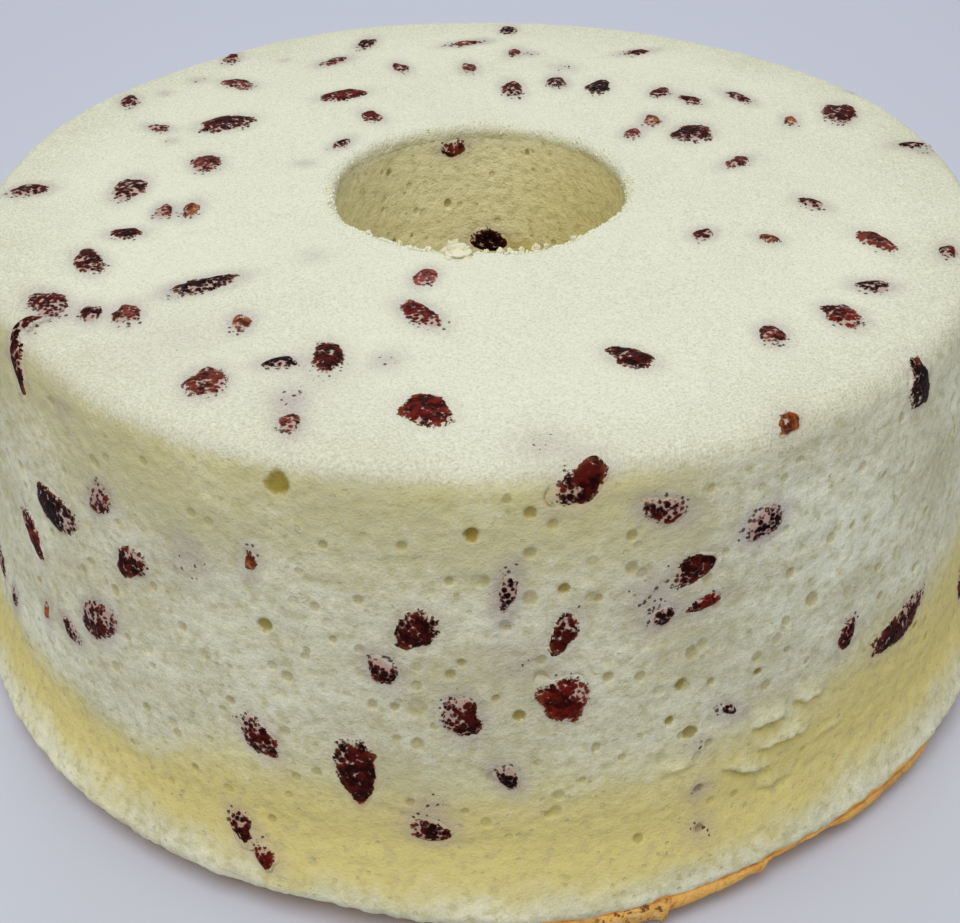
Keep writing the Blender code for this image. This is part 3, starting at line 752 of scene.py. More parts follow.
@dataclass
class FruitBowl:
    """All the fruit of the cake, placed as the solids have it."""

    form: CakeForm
    far_bearings: tuple[float, float] = (331, 566)
    far_heights: tuple[float, float] = (14, 72)
    far_berries: int = 18
    far_chips: int = 18
    far_spacing: float = 17 * MM
    far_seed: int = 31
    far_tints: str = "mimrmbmimo"

    def listed(self, zone: Zone, rows: Sequence[tuple]) -> list[Fruit]:
        """Return the fruit of a table.

        Args:
            zone: The face that the table is for.
            rows: Bearing, place, length, width, turn, letter of the tint and tenths of lace.

        Returns:
            One Fruit for each row.
        """
        pose_of = {Zone.TOP: self.form.top_pose, Zone.HOLE: self.form.hole_pose}.get(zone, self.form.side_pose)
        found = []
        for bearing, place, length, width, turn, letter, tenths in rows:
            seed = round(bearing * 7 + place * 13)
            lace_turn = -90 + (seed % 61 - 30) if zone is Zone.TOP else 100 + (seed * 37 % 181 - 90)
            pose = pose_of(math.radians(bearing), place * MM)
            tint = LETTERS[letter]
            found.append(Fruit(zone, pose, length * MM, width * MM, turn, tint, tenths / 10, lace_turn, seed))
        return found

    def far_places(self) -> list[tuple]:
        """Return the far side's places, drawn at random and kept clear of each other, as the solids' are."""
        draw = random.Random(self.far_seed)
        spots: list[Vector] = []
        places = []
        while len(places) < self.far_berries + self.far_chips:
            bearing = math.radians(draw.uniform(*self.far_bearings))
            height = draw.uniform(*self.far_heights)
            reach = self.form.foot_radius
            spot = Vector((reach * math.cos(bearing), reach * math.sin(bearing), height * MM))
            if all((spot - other).length > self.far_spacing for other in spots):
                spots.append(spot)
                places.append((bearing, height, draw.random(), draw.uniform(0, 180)))
        return places

    def far(self, chips: bool) -> list[Fruit]:
        """Return the far side's fruit: its berries, or its smaller chips."""
        places = self.far_places()
        places = places[self.far_berries :] if chips else places[: self.far_berries]
        length, longer, width, wider = (3.4, 2.0, 2.2, 1.4) if chips else (5.6, 3.4, 3.8, 1.8)
        table = []
        for number, (bearing, height, share, turn) in enumerate(places):
            size = (length + longer * share, width + wider * share)
            table.append((math.degrees(bearing), height, *size, turn, self.far_tints[number % 10], 3 + number % 4))
        return self.listed(Zone.FAR, table)

    def berries(self) -> dict[Zone, list[Fruit]]:
        """Return the larger pieces, by face, in the order of their solids' numbers."""
        tables = {Zone.TOP: TOP_BERRIES, Zone.SIDE: SIDE_BERRIES, Zone.HOLE: HOLE_BERRIES}
        found = {zone: self.listed(zone, rows) for zone, rows in tables.items()}
        return found | {Zone.FAR: self.far(chips=False)}

    def chips(self) -> list[Fruit]:
        """Return the small pieces, which the solids carry as relief."""
        return self.listed(Zone.TOP, TOP_CHIPS) + self.listed(Zone.SIDE, SIDE_CHIPS) + self.far(chips=True)


# ---------------------------------------------------------------------------------------------------------
# Meshes from arrays.


def linked(name: str, data: bpy.types.ID) -> bpy.types.Object:
    """Return a new object of this data, linked to the scene."""
    thing = bpy.data.objects.new(name, data)
    bpy.context.scene.collection.objects.link(thing)
    return thing


def grid_object(name: str, rows: Array, finish: bpy.types.Material) -> bpy.types.Object:
    """Return an object whose faces join the points of a grid that closes on itself both ways."""
    ids = np.arange(rows.shape[0] * rows.shape[1]).reshape(rows.shape[:2])
    below = np.roll(ids, -1, axis=0)
    quads = np.stack([ids, np.roll(ids, -1, 1), np.roll(below, -1, 1), below], axis=-1)
    return faces_object(name, rows.reshape(-1, 3), quads.reshape(-1, 4), finish)


def lumps_object(name: str, lumps: Sequence[Array], finish: bpy.types.Material) -> bpy.types.Object:
    """Return one object of several lumps, each a ball's grid of points that closes at its two poles."""
    rows, columns = lumps[0].shape[:2]
    ids = np.arange(rows * columns).reshape(rows, columns)
    ids[0], ids[-1] = ids[0, 0], ids[-1, 0]
    upper, lower = ids[:-1], ids[1:]
    quads = np.stack([upper, np.roll(upper, -1, 1), np.roll(lower, -1, 1), lower], axis=-1).reshape(-1, 4)
    every = [quads + number * ids.size for number in range(len(lumps))]
    return faces_object(name, np.concatenate(lumps).reshape(-1, 3), np.concatenate(every), finish)


def faces_object(name: str, points: Array, quads: Array, finish: bpy.types.Material) -> bpy.types.Object:
    """Return an object of these points and faces, turned so that its volume is positive.

    Args:
        name: The object's name.
        points: Points, as (count, 3). Those that no face uses are left out.
        quads: Each face's corners. A face may name a corner twice in a row, and is then a triangle.
        finish: The material.

    Returns:
        The object, linked to the scene.
    """
    corners = points[quads].swapaxes(0, 1)
    fan = sum(np.cross(second, third) for second, third in zip(corners[1:-1], corners[2:]))
    if (corners[0] * fan).sum() < 0:
        quads = quads[:, ::-1]
    repeated = quads == np.roll(quads, 1, axis=1)
    used, index = np.unique(quads, return_inverse=True)
    index = index.reshape(quads.shape)
    sizes = (~repeated).sum(axis=1)
    mesh = bpy.data.meshes.new(name)
    mesh.vertices.add(len(used))
    mesh.vertices.foreach_set("co", points[used].astype(np.float32).ravel())
    mesh.loops.add(int(sizes.sum()))
    mesh.loops.foreach_set("vertex_index", index[~repeated].astype(np.int32))
    mesh.polygons.add(len(quads))
    starts = np.concatenate([[0], np.cumsum(sizes)[:-1]])
    mesh.polygons.foreach_set("loop_start", starts.astype(np.int32))
    mesh.update(calc_edges=True)
    mesh.shade_smooth()
    mesh.attributes.new("source", "INT", "POINT").data.foreach_set("value", used.astype(np.int32))
    mesh.materials.append(finish)
    return linked(name, mesh)


def sources(thing: bpy.types.Object) -> Array:
    """Return which of the points that an object was made from each of its own points is."""
    source = np.empty(len(thing.data.vertices), dtype=np.int32)
    thing.data.attributes["source"].data.foreach_get("value", source)
    return source


def crease(thing: bpy.types.Object, columns: int, rows: Sequence[int]) -> None:
    """Mark the edges that run along some rows of a grid as sharp, so that shading breaks there.

    Args:
        thing: An object made by grid_object.
        columns: The grid's columns.
        rows: The rows' numbers.
    """
    mesh = thing.data
    ends = np.empty(2 * len(mesh.edges), dtype=np.int32)
    mesh.edges.foreach_get("vertices", ends)
    row = (sources(thing) // columns)[ends].reshape(-1, 2)
    sharp = (row[:, 0] == row[:, 1]) & np.isin(row[:, 0], rows)
    mesh.attributes.new("sharp_edge", "BOOLEAN", "EDGE").data.foreach_set("value", sharp)


def carry(thing: bpy.types.Object, name: str, values: Array) -> None:
    """Give each of an object's points its value, or its colour where values has three columns."""
    kept, kind, field_name = values[sources(thing)], "FLOAT", "value"
    if kept.ndim == 2:
        kept, kind, field_name = np.pad(kept, ((0, 0), (0, 1)), constant_values=1), "FLOAT_COLOR", "color"
    layer = thing.data.attributes.new(name, kind, "POINT")
    layer.data.foreach_set(field_name, kept.astype(np.float32).ravel())


# ---------------------------------------------------------------------------------------------------------
# The sponge's skin.


@dataclass
class Skin:
    """A worked-out surface: its points, the normals of its smooth form, and its values for the finish."""

    points: Array
    normals: Array
    values: dict[str, Array]

    def cut(self, first: int, last: int | None) -> "Skin":
        """Return the rows from first up to but without last."""
        values = {key: value[first:last] for key, value in self.values.items()}
        return Skin(self.points[first:last], self.normals[first:last], values)


@dataclass
class SpongeSkin:
    """The sponge as it shows: closed shells that meet at hidden or shared borders."""

    form: CakeForm
    fruit: list[Fruit]
    columns: int = 1300
    tuck: float = 3 * MM
    overlap: float = 0.7 * MM
    lip_curl: float = 1.2 * MM
    crust_round: float = 0.5 * MM
    crust_tuck: float = 4.5 * MM
    fruit_sink: float = 0.16 * MM
    pore_depth: float = 0.7 * MM
    stain_fade: float = 1.4 * MM
    speck_fade: float = 1.0 * MM
    fruit_reach: float = 12 * MM
    fruit_depth: float = 4 * MM
    pore_seed: int = 17
    ledge_stand: float = 0.9 * MM
    ledge_recess: float = 1.0 * MM
    small_pores: int = 420
    far_pores: int = 110
    hole_pores: int = 110

    def bearings(self, step: int = 1) -> Array:
        """Return the columns' bearings, or those of every step-th column."""
        return math.tau * np.arange(0, self.columns, step)[None, :] / self.columns

    def top_face(self) -> Array:
        """Return the top: up a quarter ellipse from the side, level to the rim, and a quarter circle down."""
        form, bearing = self.form, self.bearings()
        edge = form.side_radius(bearing, form.side_top) - form.top_edge_round
        angle = steps(12, math.pi / 2)
        rise = form.side_top + (form.top_height(bearing, edge) - form.side_top) * np.sin(angle)
        corner = ring(bearing, edge + form.top_edge_round * np.cos(angle), rise)
        rim = form.hole_radius(bearing, form.height) + form.hole_edge_round
        radius = edge + (rim - edge) * steps(104)[1:]
        flat = ring(bearing, radius, form.top_height(bearing, radius))
        brink = form.top_height(bearing, rim) - form.hole_edge_round
        angle = steps(7, math.pi / 2)
        turned = rim - form.hole_edge_round * np.sin(angle)
        mouth = ring(bearing, turned, brink + form.hole_edge_round * np.cos(angle))
        return np.concatenate([corner, flat, mouth[1:], ring(bearing, turned[-1:], brink - self.overlap)])

    def hole_face(self) -> Array:
        """Return the hole's wall, a straight line down, and a quarter circle out at its foot."""
        form, bearing = self.form, self.bearings(2)
        rim = form.hole_radius(bearing, form.height) + form.hole_edge_round
        brink = form.top_height(bearing, rim) - form.hole_edge_round
        share = steps(122)
        height = brink + (form.hole_edge_round - brink) * share
        tucked = 0.25 * MM * (1 - ease(share, 0.0, 0.02))
        wall = ring(bearing, form.hole_radius(bearing, height) + tucked, height)
        angle = steps(6, math.pi / 2)[1:]
        radius = form.hole_radius(bearing, form.hole_edge_round) + form.hole_edge_round * (1 - np.cos(angle))
        return np.concatenate([wall, ring(bearing, radius, form.hole_edge_round * (1 - np.sin(angle)))])

    def side_face(self) -> Array:
        """Return the side: round the lip, up the flare and the taper to where the top's edge begins.

        The flare's radius is the foot's plus the lip's excess times (1 - share) to the power 1.7.
        """
        form, bearing = self.form, self.bearings()
        reach, lip_height = form.lip(bearing)
        start = lip_height + form.lip_rise
        angle = steps(7, 0.0, -math.pi / 2)[:-1]
        curled = reach - self.lip_curl * (1 - np.cos(angle))
        curl = ring(bearing, curled, start + (form.lip_rise + form.crust_thickness) * np.sin(angle))
        share = steps(27)[:-1]
        height = start + share * (form.flare_top - start)
        foot = form.side_radius(bearing, height)
        flare = ring(bearing, foot + (reach - foot) * (1 - share) ** form.flare_power, height)
        height = form.flare_top + (form.side_top - form.flare_top) * steps(160) + 0 * bearing
        return np.concatenate([curl, flare, ring(bearing, form.side_radius(bearing, height), height)])

    def crust_face(self) -> Array:
        """Return the crust: level out from the hole, up a curve to its edge, and back in under the crumb.

        The curve's height is the edge's times the share of the way out to the power 1.6.
        """
        form, bearing = self.form, self.bearings(2)
        torn = form.torn_share(bearing)
        lip_radius, lip_height = form.lip(bearing)
        drop, out = np.zeros_like(bearing), np.zeros_like(bearing)
        for first, last, fade, down, beyond in CRUST_HANGS:
            share = window(np.degrees(bearing), first, last, fade)
            drop += down * MM * share
            out += beyond * MM * share
        edge = lip_radius - (0.9 - 0.8 * torn) * MM + out
        under = lip_height - form.crust_thickness - drop
        start = form.hole_foot_radius + form.hole_edge_round
        flat = ring(bearing, start + (form.rest_radius - start) * steps(22)[:-1] + 0 * bearing, 0.0)
        share = steps(22)
        reach = edge - self.crust_round
        climb = ring(bearing, form.rest_radius + share * (reach - form.rest_radius), under * share**1.6)
        angle = steps(7, math.pi / 2, -math.pi / 2)[1:]
        half = 0.5 * form.crust_thickness * (0.5 + 0.55 * torn) + 0.5 * drop
        round_edge = ring(bearing, reach + 0.8 * MM * np.cos(angle), under + half * (1 + np.sin(angle)))
        inward = steps(8)[1:]
        over = ring(bearing, reach - self.crust_tuck * inward, under + 2 * half - 0.3 * MM * inward)
        return np.concatenate([flat, climb, round_edge, over])

    def clump(self, points: Array) -> Array:
        """Return 1 where crumbs of crust are baked on in a clump, at the front under the lip."""
        return window(degrees_of(points), 279.5, 286.3, 0.6) * ease(reach_of(points), 88 * MM, 92 * MM)

    def bake(self, points: Array) -> Array:
        """Return how much of the crust's colour the crumb has: all of it at the foot of the torn lip."""
        bearing = np.radians(degrees_of(points))
        more = 1.3 * window(np.degrees(bearing), 308, 319, 4) + 0.8 * bumps(points, 3 * MM, 91)
        rise = points[..., 2] - self.form.lip(bearing)[1] - more * MM
        torn = 0.25 + 0.75 * ease(self.form.torn_share(bearing), 0.0, 0.4)
        return ease(reach_of(points), 60 * MM, 70 * MM) * torn * (1 - ease(rise, -1.3 * MM, 0.5 * MM))

    def wallness(self, points: Array) -> Array:
        """Return 0 on the top and 1 on the walls, which have the coarser crumb."""
        return ease(self.form.height - points[..., 2], 0.6 * MM, 3.6 * MM)

    def ledges(self, points: Array) -> tuple[Array, Array, Array]:
        """Return the torn ledges' relief, their flaps and the recesses under them.

        With u the distance along a ledge and v the height over its lip, a flap stands out most at its lip and
        fades up over its height. Under the lip a recess is cut, which fades down as exp(-(v / 1.5 mm)²). Both
        taper along the ledge as 1 - (2u / length)², and bumps make the lip ragged.
        """
        bearing = np.radians(degrees_of(points))
        relief, flaps, recesses = (np.zeros(points.shape[:-1]) for _ in range(3))
        ragged = 0.6 * MM * bumps(points, 2.6 * MM, 71) + 0.45 * MM * bumps(points, 1.1 * MM, 72)
        blur = 0.35 * MM
        for degrees, lip, length, height, slope, strength in LEDGES:
            along = (bearing - math.radians(degrees)) * self.form.foot_radius
            taper = strength * np.clip(1 - (2 * along / (length * MM)) ** 2, 0, 1) ** 0.6
            over = points[..., 2] - lip * MM - slope * along + ragged
            flap = taper * ease(over, -blur, blur) * (1 - ease(over, 0.2 * MM, height * MM))
            recess = taper * ease(-over, -blur, blur) * np.exp(-((over / (1.5 * MM)) ** 2))
            relief += self.ledge_stand * flap - self.ledge_recess * recess
            flaps, recesses = np.maximum(flaps, flap), np.maximum(recesses, recess)
        return relief, flaps, recesses

    def relief(self, points: Array) -> Array:
        """Return how far the crumb stands out of the smooth form: bumps of several sizes, and torn ledges."""
        flat = 0.12 * MM * crumble(points, 6 * MM, 11) + 0.22 * MM * crumble(points, 2.0 * MM, 21)
        low = points * np.array([1.0, 1.0, 1.2])
        wall = 0.26 * MM * crumble(low, 8 * MM, 31) + 0.27 * MM * crumble(low, 2.4 * MM, 41)
        share = self.wallness(points)
        lip = 0.42 * MM * crumble(points, 1.9 * MM, 81) * (1 - ease(points[..., 2], 7 * MM, 11 * MM))
        return flat + (wall - flat) * share + self.ledges(points)[0] + lip

    def gold(self, points: Array) -> Array:
        """Return how yellow the crumb is: in a band above the lip, under the top's edge and in the hole.

        The band fades in above the foot and out above its own height, both higher at the right. The edge's
        yellow rises towards the top and is strongest in front. The hole's is strongest on the right.
        """
        bearing, wall = degrees_of(points), self.wallness(points)
        blotch = bumps(points, 16 * MM, 51)
        height = points[..., 2] + 2.5 * MM * blotch + 1.2 * MM * bumps(points, 4 * MM, 53)
        right = ease(bearing, 286, 318) * (1 - ease(bearing, 340, 400))
        left = window(bearing, 150, 232, 14)
        high = (16 + 7 * right - 4 * left) * MM
        foot = (7.5 + 1.8 * right) * MM
        band = ease(height, foot - 1.5 * MM, foot + 6.5 * MM) * (1 - ease(height, high, high + (20 - 8 * left) * MM))
        edge = 0.42 * ease(height, 54 * MM, 77 * MM) * (0.8 + 0.5 * bumps(points, 22 * MM, 52))
        edge = edge * (0.70 + 0.5 * window(bearing, 248, 274, 20) - 0.5 * window(bearing, 296, 345, 14))
        edge = edge * ease(self.form.height - height, 0.6 * MM, 2.6 * MM)
        plain = 0.21 - 0.10 * window(bearing, 298, 345, 12) * ease(height, 8 * MM, 44 * MM)
        outer = np.maximum(0.76 * band, edge) + plain + 0.10 * left * (1 - ease(height, 10 * MM, 14 * MM))
        outer = outer * wall + 0.05 * (1 - wall)
        inner = 0.10 + 0.10 * blotch + 0.45 * ease(np.cos(np.radians(bearing - 8)), 0.1, 0.95)
        inner = inner * ease(self.form.height - points[..., 2], 0.4 * MM, 3.5 * MM)
        inner = inner + 0.8 * window(bearing, 60, 80, 6) * window(points[..., 2], 46 * MM, 53 * MM, 2.5 * MM)
        golden = np.where(reach_of(points) < 40 * MM, inner, outer)
        flaps, recesses = self.ledges(points)[1:]
        # The recesses under the torn ledges are painted olive gold, as shade.
        return np.clip(golden + (0.42 - golden) * flaps + 0.55 * recesses, 0, 1)

    def tone(self, points: Array) -> Array:
        """Return the crumb's shadiness from 0 to 1.8, part random tone and part painted shade: in blotches 14 mm wide
        and smaller, and more at the rim.

        The side is painted shadier than the top, most of all in front and under the top's edge. It is painted lighter
        towards the lip, at the right and low on the left. Torn flaps are painted lighter, as lit faces, and the
        recesses under them are painted darker, as shade.
        """
        wall, bearing, height = self.wallness(points), degrees_of(points), points[..., 2]
        rim = ease(reach_of(points), 64 * MM, 82 * MM) * (1 - wall)
        blotches = crumble(points * np.array([1.0, 1.0, 1.5]), 14 * MM, 61, 4)
        flaps, recesses = self.ledges(points)[1:]
        # Painted shade under the top's rounded edge and low in front; painted light towards the lip, at the right and
        # low on the left.
        brink = ease(height, 58 * MM, 71 * MM) * wall * (0.40 - 0.42 * window(bearing, 294, 350, 12))
        front = window(bearing, 256, 300, 16) * (1 - ease(height, 45 * MM, 60 * MM))
        side = 0.41 + 0.16 * front - 0.18 * window(bearing, 300, 350, 14) - 0.35 * (1 - ease(height, 6 * MM, 13 * MM))
        side = side - 0.3 * window(bearing, 205, 244, 10) * (1 - ease(height, 24 * MM, 34 * MM))
        shady = 0.28 + side * wall + (0.65 + 0.25 * wall) * blotches + 0.75 * rim + brink
        # Painted light on the torn flaps, and painted shade in the recesses under them.
        return np.clip(shady - 0.6 * flaps + 0.8 * recesses, 0, 1.8)

    def fruit_marks(self, points: Array) -> tuple[Array, Array, Array]:
        """Return the stain, the specks and the sink of the crumb round each piece of fruit.

        The stain fades beyond a piece's outline as exp(-(distance / 1.4 mm)²). The specks keep to the side
        where crumb laps over the piece. The sink is 1 within the outline.
        """
        flat = points.reshape(-1, 3)
        clear, spotless, sink = np.ones(len(flat)), np.ones(len(flat)), np.zeros(len(flat))
        for piece in self.fruit:
            frame = np.linalg.inv(piece.outline_frame())
            near = np.flatnonzero(np.abs(flat - np.array(piece.pose.translation)).max(axis=1) < self.fruit_reach)
            local = flat[near] @ frame[:3, :3].T + frame[:3, 3]
            half = np.array([piece.length / 2, piece.width / 2])
            reach = np.hypot(local[:, 0] / half[0], local[:, 1] / half[1])
            beyond = np.clip(reach - 1, 0, None) * half.min()
            shallow = np.abs(local[:, 2]) < self.fruit_depth
            lace = math.radians(piece.lace_turn - piece.turn)
            toward = local[:, 0] * math.cos(lace) + local[:, 1] * math.sin(lace)
            lapped = np.clip(0.25 + 0.9 * toward / half.max(), 0, 1)
            clear[near] *= 1 - shallow * (0.2 + 0.8 * piece.lace) * np.exp(-((beyond / self.stain_fade) ** 2))
            spotless[near] *= 1 - shallow * lapped * (0.4 + piece.lace) * np.exp(-((beyond / self.speck_fade) ** 2))
            sink[near] = np.maximum(sink[near], shallow * (1 - ease(reach, 0.95, 1.2)))
        shape = points.shape[:-1]
        return (1 - clear).reshape(shape), (1 - spotless).reshape(shape), sink.reshape(shape)

    def loose_stains(self, points: Array) -> Array:
        """Return the stain of juice alone: strength times exp(-(distance / half the size)²)."""
        clear = np.ones(points.shape[:-1])
        for zone, rows in STAINS.items():
            pose_of = self.form.top_pose if zone is Zone.TOP else self.form.side_pose
            for bearing, place, size, tenths in rows:
                spot = np.array(pose_of(math.radians(bearing), place * MM).translation)
                far = np.linalg.norm(points - spot, axis=-1) / (0.55 * size * MM)
                clear = clear * (1 - 0.1 * tenths * np.exp(-(far**2)))
        return 1 - clear

    def pores(self) -> list[tuple[Array, float, float]]:
        """Return each air pore's middle, width and depth: those listed, and small ones at random."""
        draw = random.Random(self.pore_seed)
        rows = list(PORES)
        for _ in range(self.small_pores):
            width = 1.1 + 0.8 * draw.random() ** 2
            rows.append((draw.uniform(0, 360), draw.uniform(16, 74), width, draw.choice((2, 3, 4, 5))))
        for _ in range(self.far_pores):
            place = (draw.uniform(-50, 200), draw.uniform(18, 74))
            rows.append((*place, 1.2 + 1.4 * draw.random() ** 2, 5 + draw.random() * 4))
        found = [(self.form.side_pose(math.radians(row[0]), row[1] * MM), *row[2:]) for row in rows]
        for _ in range(self.hole_pores):
            pose = self.form.hole_pose(draw.uniform(0, math.tau), draw.uniform(20 * MM, 75 * MM))
            found.append((pose, 0.8 + 0.9 * draw.random() ** 2, draw.choice((3, 4, 5, 7))))
        return [(np.array(pose.translation), width * MM, 0.1 * tenths) for pose, width, tenths in found]

    def pits(self, points: Array) -> tuple[Array, Array]:
        """Return the air pores' cones and depths.

        A cone is 0.5 at its pore's edge and rises by 0.5 for each half of the pore's radius towards its middle.
        """
        flat = points.reshape(-1, 3)
        cone, depth = np.zeros(len(flat)), np.zeros(len(flat))
        for spot, width, deep in self.pores():
            near = np.flatnonzero(np.abs(flat - spot).max(axis=1) < width + 0.8 * MM)
            far = np.linalg.norm((flat[near] - spot) * np.array([1, 1, 0.88]), axis=-1) / (0.5 * width)
            value = np.clip(1.5 - far, 0, 1.5)
            depth[near] = np.where(value >= cone[near], min(deep, 1.0), depth[near])
            cone[near] = np.maximum(cone[near], value)
        return cone.reshape(points.shape[:-1]), depth.reshape(points.shape[:-1])

    def values(self, points: Array) -> dict[str, Array]:
        """Return what the crumb's finish reads at each point, apart from the pores."""
        stain, speck, _ = self.fruit_marks(points)
        loose = self.loose_stains(points)
        depth = self.form.height - points[..., 2]
        hole = 1 - ease(reach_of(points), 35 * MM, 40 * MM)
        return {
            "wall": self.wallness(points),
            "tone": self.tone(points),
            "gold": self.gold(points),
            "inner": hole * ease(depth, 1.0 * MM, 6 * MM),
            "bake": self.bake(points),
            "stain": 1 - (1 - stain) * (1 - loose),
            "speck": 1 - (1 - speck) * (1 - 0.8 * loose),
        }

    def dressed(self, face: Array, pored: bool = False, rough: float = 1.0, sunk: float = 0.0) -> Skin:
        """Return a face with its relief, moved along the normals of its smooth form.

        Args:
            face: The smooth face, as (rows, columns, 3).
            pored: Whether it has air pores.
            rough: The share of the crumb's relief that it has.
            sunk: How far the whole face lies behind the smooth form.

        Returns:
            The surface.
        """
        around = np.roll(face, -1, axis=1) - np.roll(face, 1, axis=1)
        normal = np.cross(around, np.gradient(face, axis=0))
        normal /= np.linalg.norm(normal, axis=-1, keepdims=True)
        core = ring(np.radians(degrees_of(face)), 58 * MM + 0 * face[..., 0], 39 * MM)
        if (normal * (face - core)).sum() < 0:
            normal = -normal
        nothing = np.zeros(face.shape[:-1])
        pit, depth = self.pits(face) if pored else (nothing, nothing)
        recess = self.ledges(face)[2]
        # The recesses under the torn ledges take the air pores' painted shade.
        pit, depth = np.maximum(pit, 0.9 * recess), np.maximum(depth, 0.52 * recess)
        stand = rough * self.relief(face) - self.fruit_sink * self.fruit_marks(face)[2] - sunk
        stand = stand - self.pore_depth * depth * ease(pit, 0.3, 1.0) * (1 - recess)
        values = self.values(face) | {"pit": pit, "depth": depth, "clump": self.clump(face)}
        points = face + normal * stand[..., None]
        points[..., 2] = np.maximum(points[..., 2], 0)
        return Skin(points, normal, values)

    def shell(self, name: str, skin: Skin, finish: bpy.types.Material, lining: Array | None = None) -> bpy.types.Object:
        """Return a closed shell: the surface, and a hidden lining behind it from its last row to its first.

        Args:
            name: The piece's name.
            skin: The surface.
            finish: The material.
            lining: The lining's rows, if it isn't six of the surface's own rows, a tuck behind it.

        Returns:
            The piece, which carries the values that the material reads.
        """
        count, columns = skin.points.shape[:2]
        chosen = np.linspace(count - 1, 0, 6).astype(int)
        if lining is None:
            lining = skin.points[chosen] - self.tuck * skin.normals[chosen]
        rows = np.concatenate([skin.points, lining])
        piece = grid_object(name, rows, finish)
        crease(piece, columns, (0, count - 1))
        for key, value in skin.values.items():
            padded = np.concatenate([value, np.broadcast_to(value[:1], (len(lining), columns))])
            carry(piece, key, padded.ravel())
        return piece

    def build(self, crumb: bpy.types.Material, crust: bpy.types.Material) -> list[bpy.types.Object]:
        """Return the top, the side, the hole's wall and the crust."""
        side, top = self.side_face(), self.top_face()
        outer = self.dressed(np.concatenate([side, top[1:]]), pored=True)
        third, whole = len(side) // 3, len(side)
        ends = [0, third, 2 * whole // 3, whole - 1, whole + len(top) // 2, whole + len(top) - 2]
        names = ["crumb_side_low", "crumb_side_middle", "crumb_side_high", "crumb_top_outer", "crumb_top_inner"]
        shells = [
            self.shell(name, outer.cut(first, last + 1), crumb)
            for name, first, last in zip(names, ends[:-1], ends[1:])
        ]
        under = self.dressed(self.crust_face(), rough=0.75, sunk=0.45 * MM)
        last = under.points[-1]
        reach = steps(8)[1:, :, None]
        inside = last * (1 - reach) + (under.points[0] + np.array([0, 0, 1.5 * MM])) * reach
        inside[..., 2] = np.minimum(inside[..., 2], last[..., 2] * (1 - reach[..., 0]) ** 1.6 + 1.4 * MM)
        return [
            *shells,
            self.shell("hole_wall", self.dressed(self.hole_face(), pored=True, rough=0.6), crumb),
            self.shell("baked_crust_base", under, crust, inside),
        ]


# ---------------------------------------------------------------------------------------------------------
# Cranberries and crumbs.


@dataclass
class CranberryPieces:
    """Lumps of dried cranberry, half sunk in the crumb."""

    skin: SpongeSkin
    half_thickness: float = 1.5 * MM
    sunk: float = 1.18 * MM
    columns: int = 48
    rows: int = 26

    def lump(self, piece: Fruit) -> tuple[Array, Array, Array]:
        """Return one lump's points as (rows, columns, 3), with its film and rim.

        With p the angle from the lump's top and a the angle round it, x is half the length times sin p cos a,
        y half the width times sin p sin a and z the half thickness times cos p. Cosines of 2a, 3a and 5a and
        bumps of the direction make the outline uneven. The length and width are those at the crumb's surface.
        """
        polar, around, whole = ball(self.rows, self.columns)
        draw = random.Random(piece.seed)
        phases = [draw.uniform(0, math.tau) for _ in range(3)]
        shift = np.array([draw.uniform(0, 90) for _ in range(3)])
        uneven = 0.07 * np.cos(2 * around + phases[0]) + 0.13 * np.cos(3 * around + phases[1])
        uneven = uneven + 0.07 * np.cos(5 * around + phases[2])
        outline = 1 + (uneven + 0.16 * bumps(whole + shift, 0.55, 5)) * np.sin(polar)
        shown = math.sqrt(1 - (self.sunk / self.half_thickness) ** 2)
        half = np.array([piece.length / 2 / shown, piece.width / 2 / shown, self.half_thickness])
        local = whole * half * np.stack([outline, outline, np.ones_like(outline)], axis=-1)
        wrinkle = 1 - 2 * np.abs(bumps(local + shift, 1.3 * MM, 6))
        local = local + whole * (0.12 * MM * wrinkle)[..., None]
        local[..., 2] -= self.sunk
        rim = np.clip(reach_of(whole) / shown, 0, 1.5)
        lace = math.radians(piece.lace_turn - piece.turn)
        toward = local[..., 0] * math.cos(lace) + local[..., 1] * math.sin(lace)
        reach = math.hypot(piece.length * math.cos(lace), piece.width * math.sin(lace)) / 2
        bare, lapped = 0.55 * piece.lace - 0.08, 0.32 + 0.45 * piece.lace
        film = bare + (lapped - bare) * ease(toward / reach, -0.6, 1.0)
        if piece.zone in (Zone.SIDE, Zone.FAR):
            turned = np.array(Matrix.Rotation(math.radians(piece.turn), 3, "Z"))
            return self.skin.form.draped(piece.pose, local @ turned.T), film, rim
        frame = piece.outline_frame()
        return local @ frame[:3, :3].T + frame[:3, 3], film, rim

    def batch(self, name: str, pieces: list[Fruit], finish: bpy.types.Material) -> bpy.types.Object:
        """Return one object of several lumps, which carry the crumb's values and their own film, rim and tint."""
        lumps, films, rims = zip(*(self.lump(piece) for piece in pieces))
        thing = lumps_object(name, lumps, finish)
        tints = np.repeat([piece.tint.value for piece in pieces], films[0].size, axis=0)
        values = self.skin.values(np.concatenate(lumps).reshape(-1, 3))
        values |= {"film": np.concatenate(films).ravel(), "rim": np.concatenate(rims).ravel(), "tint": tints}
        for key, value in values.items():
            carry(thing, key, value)
        return thing


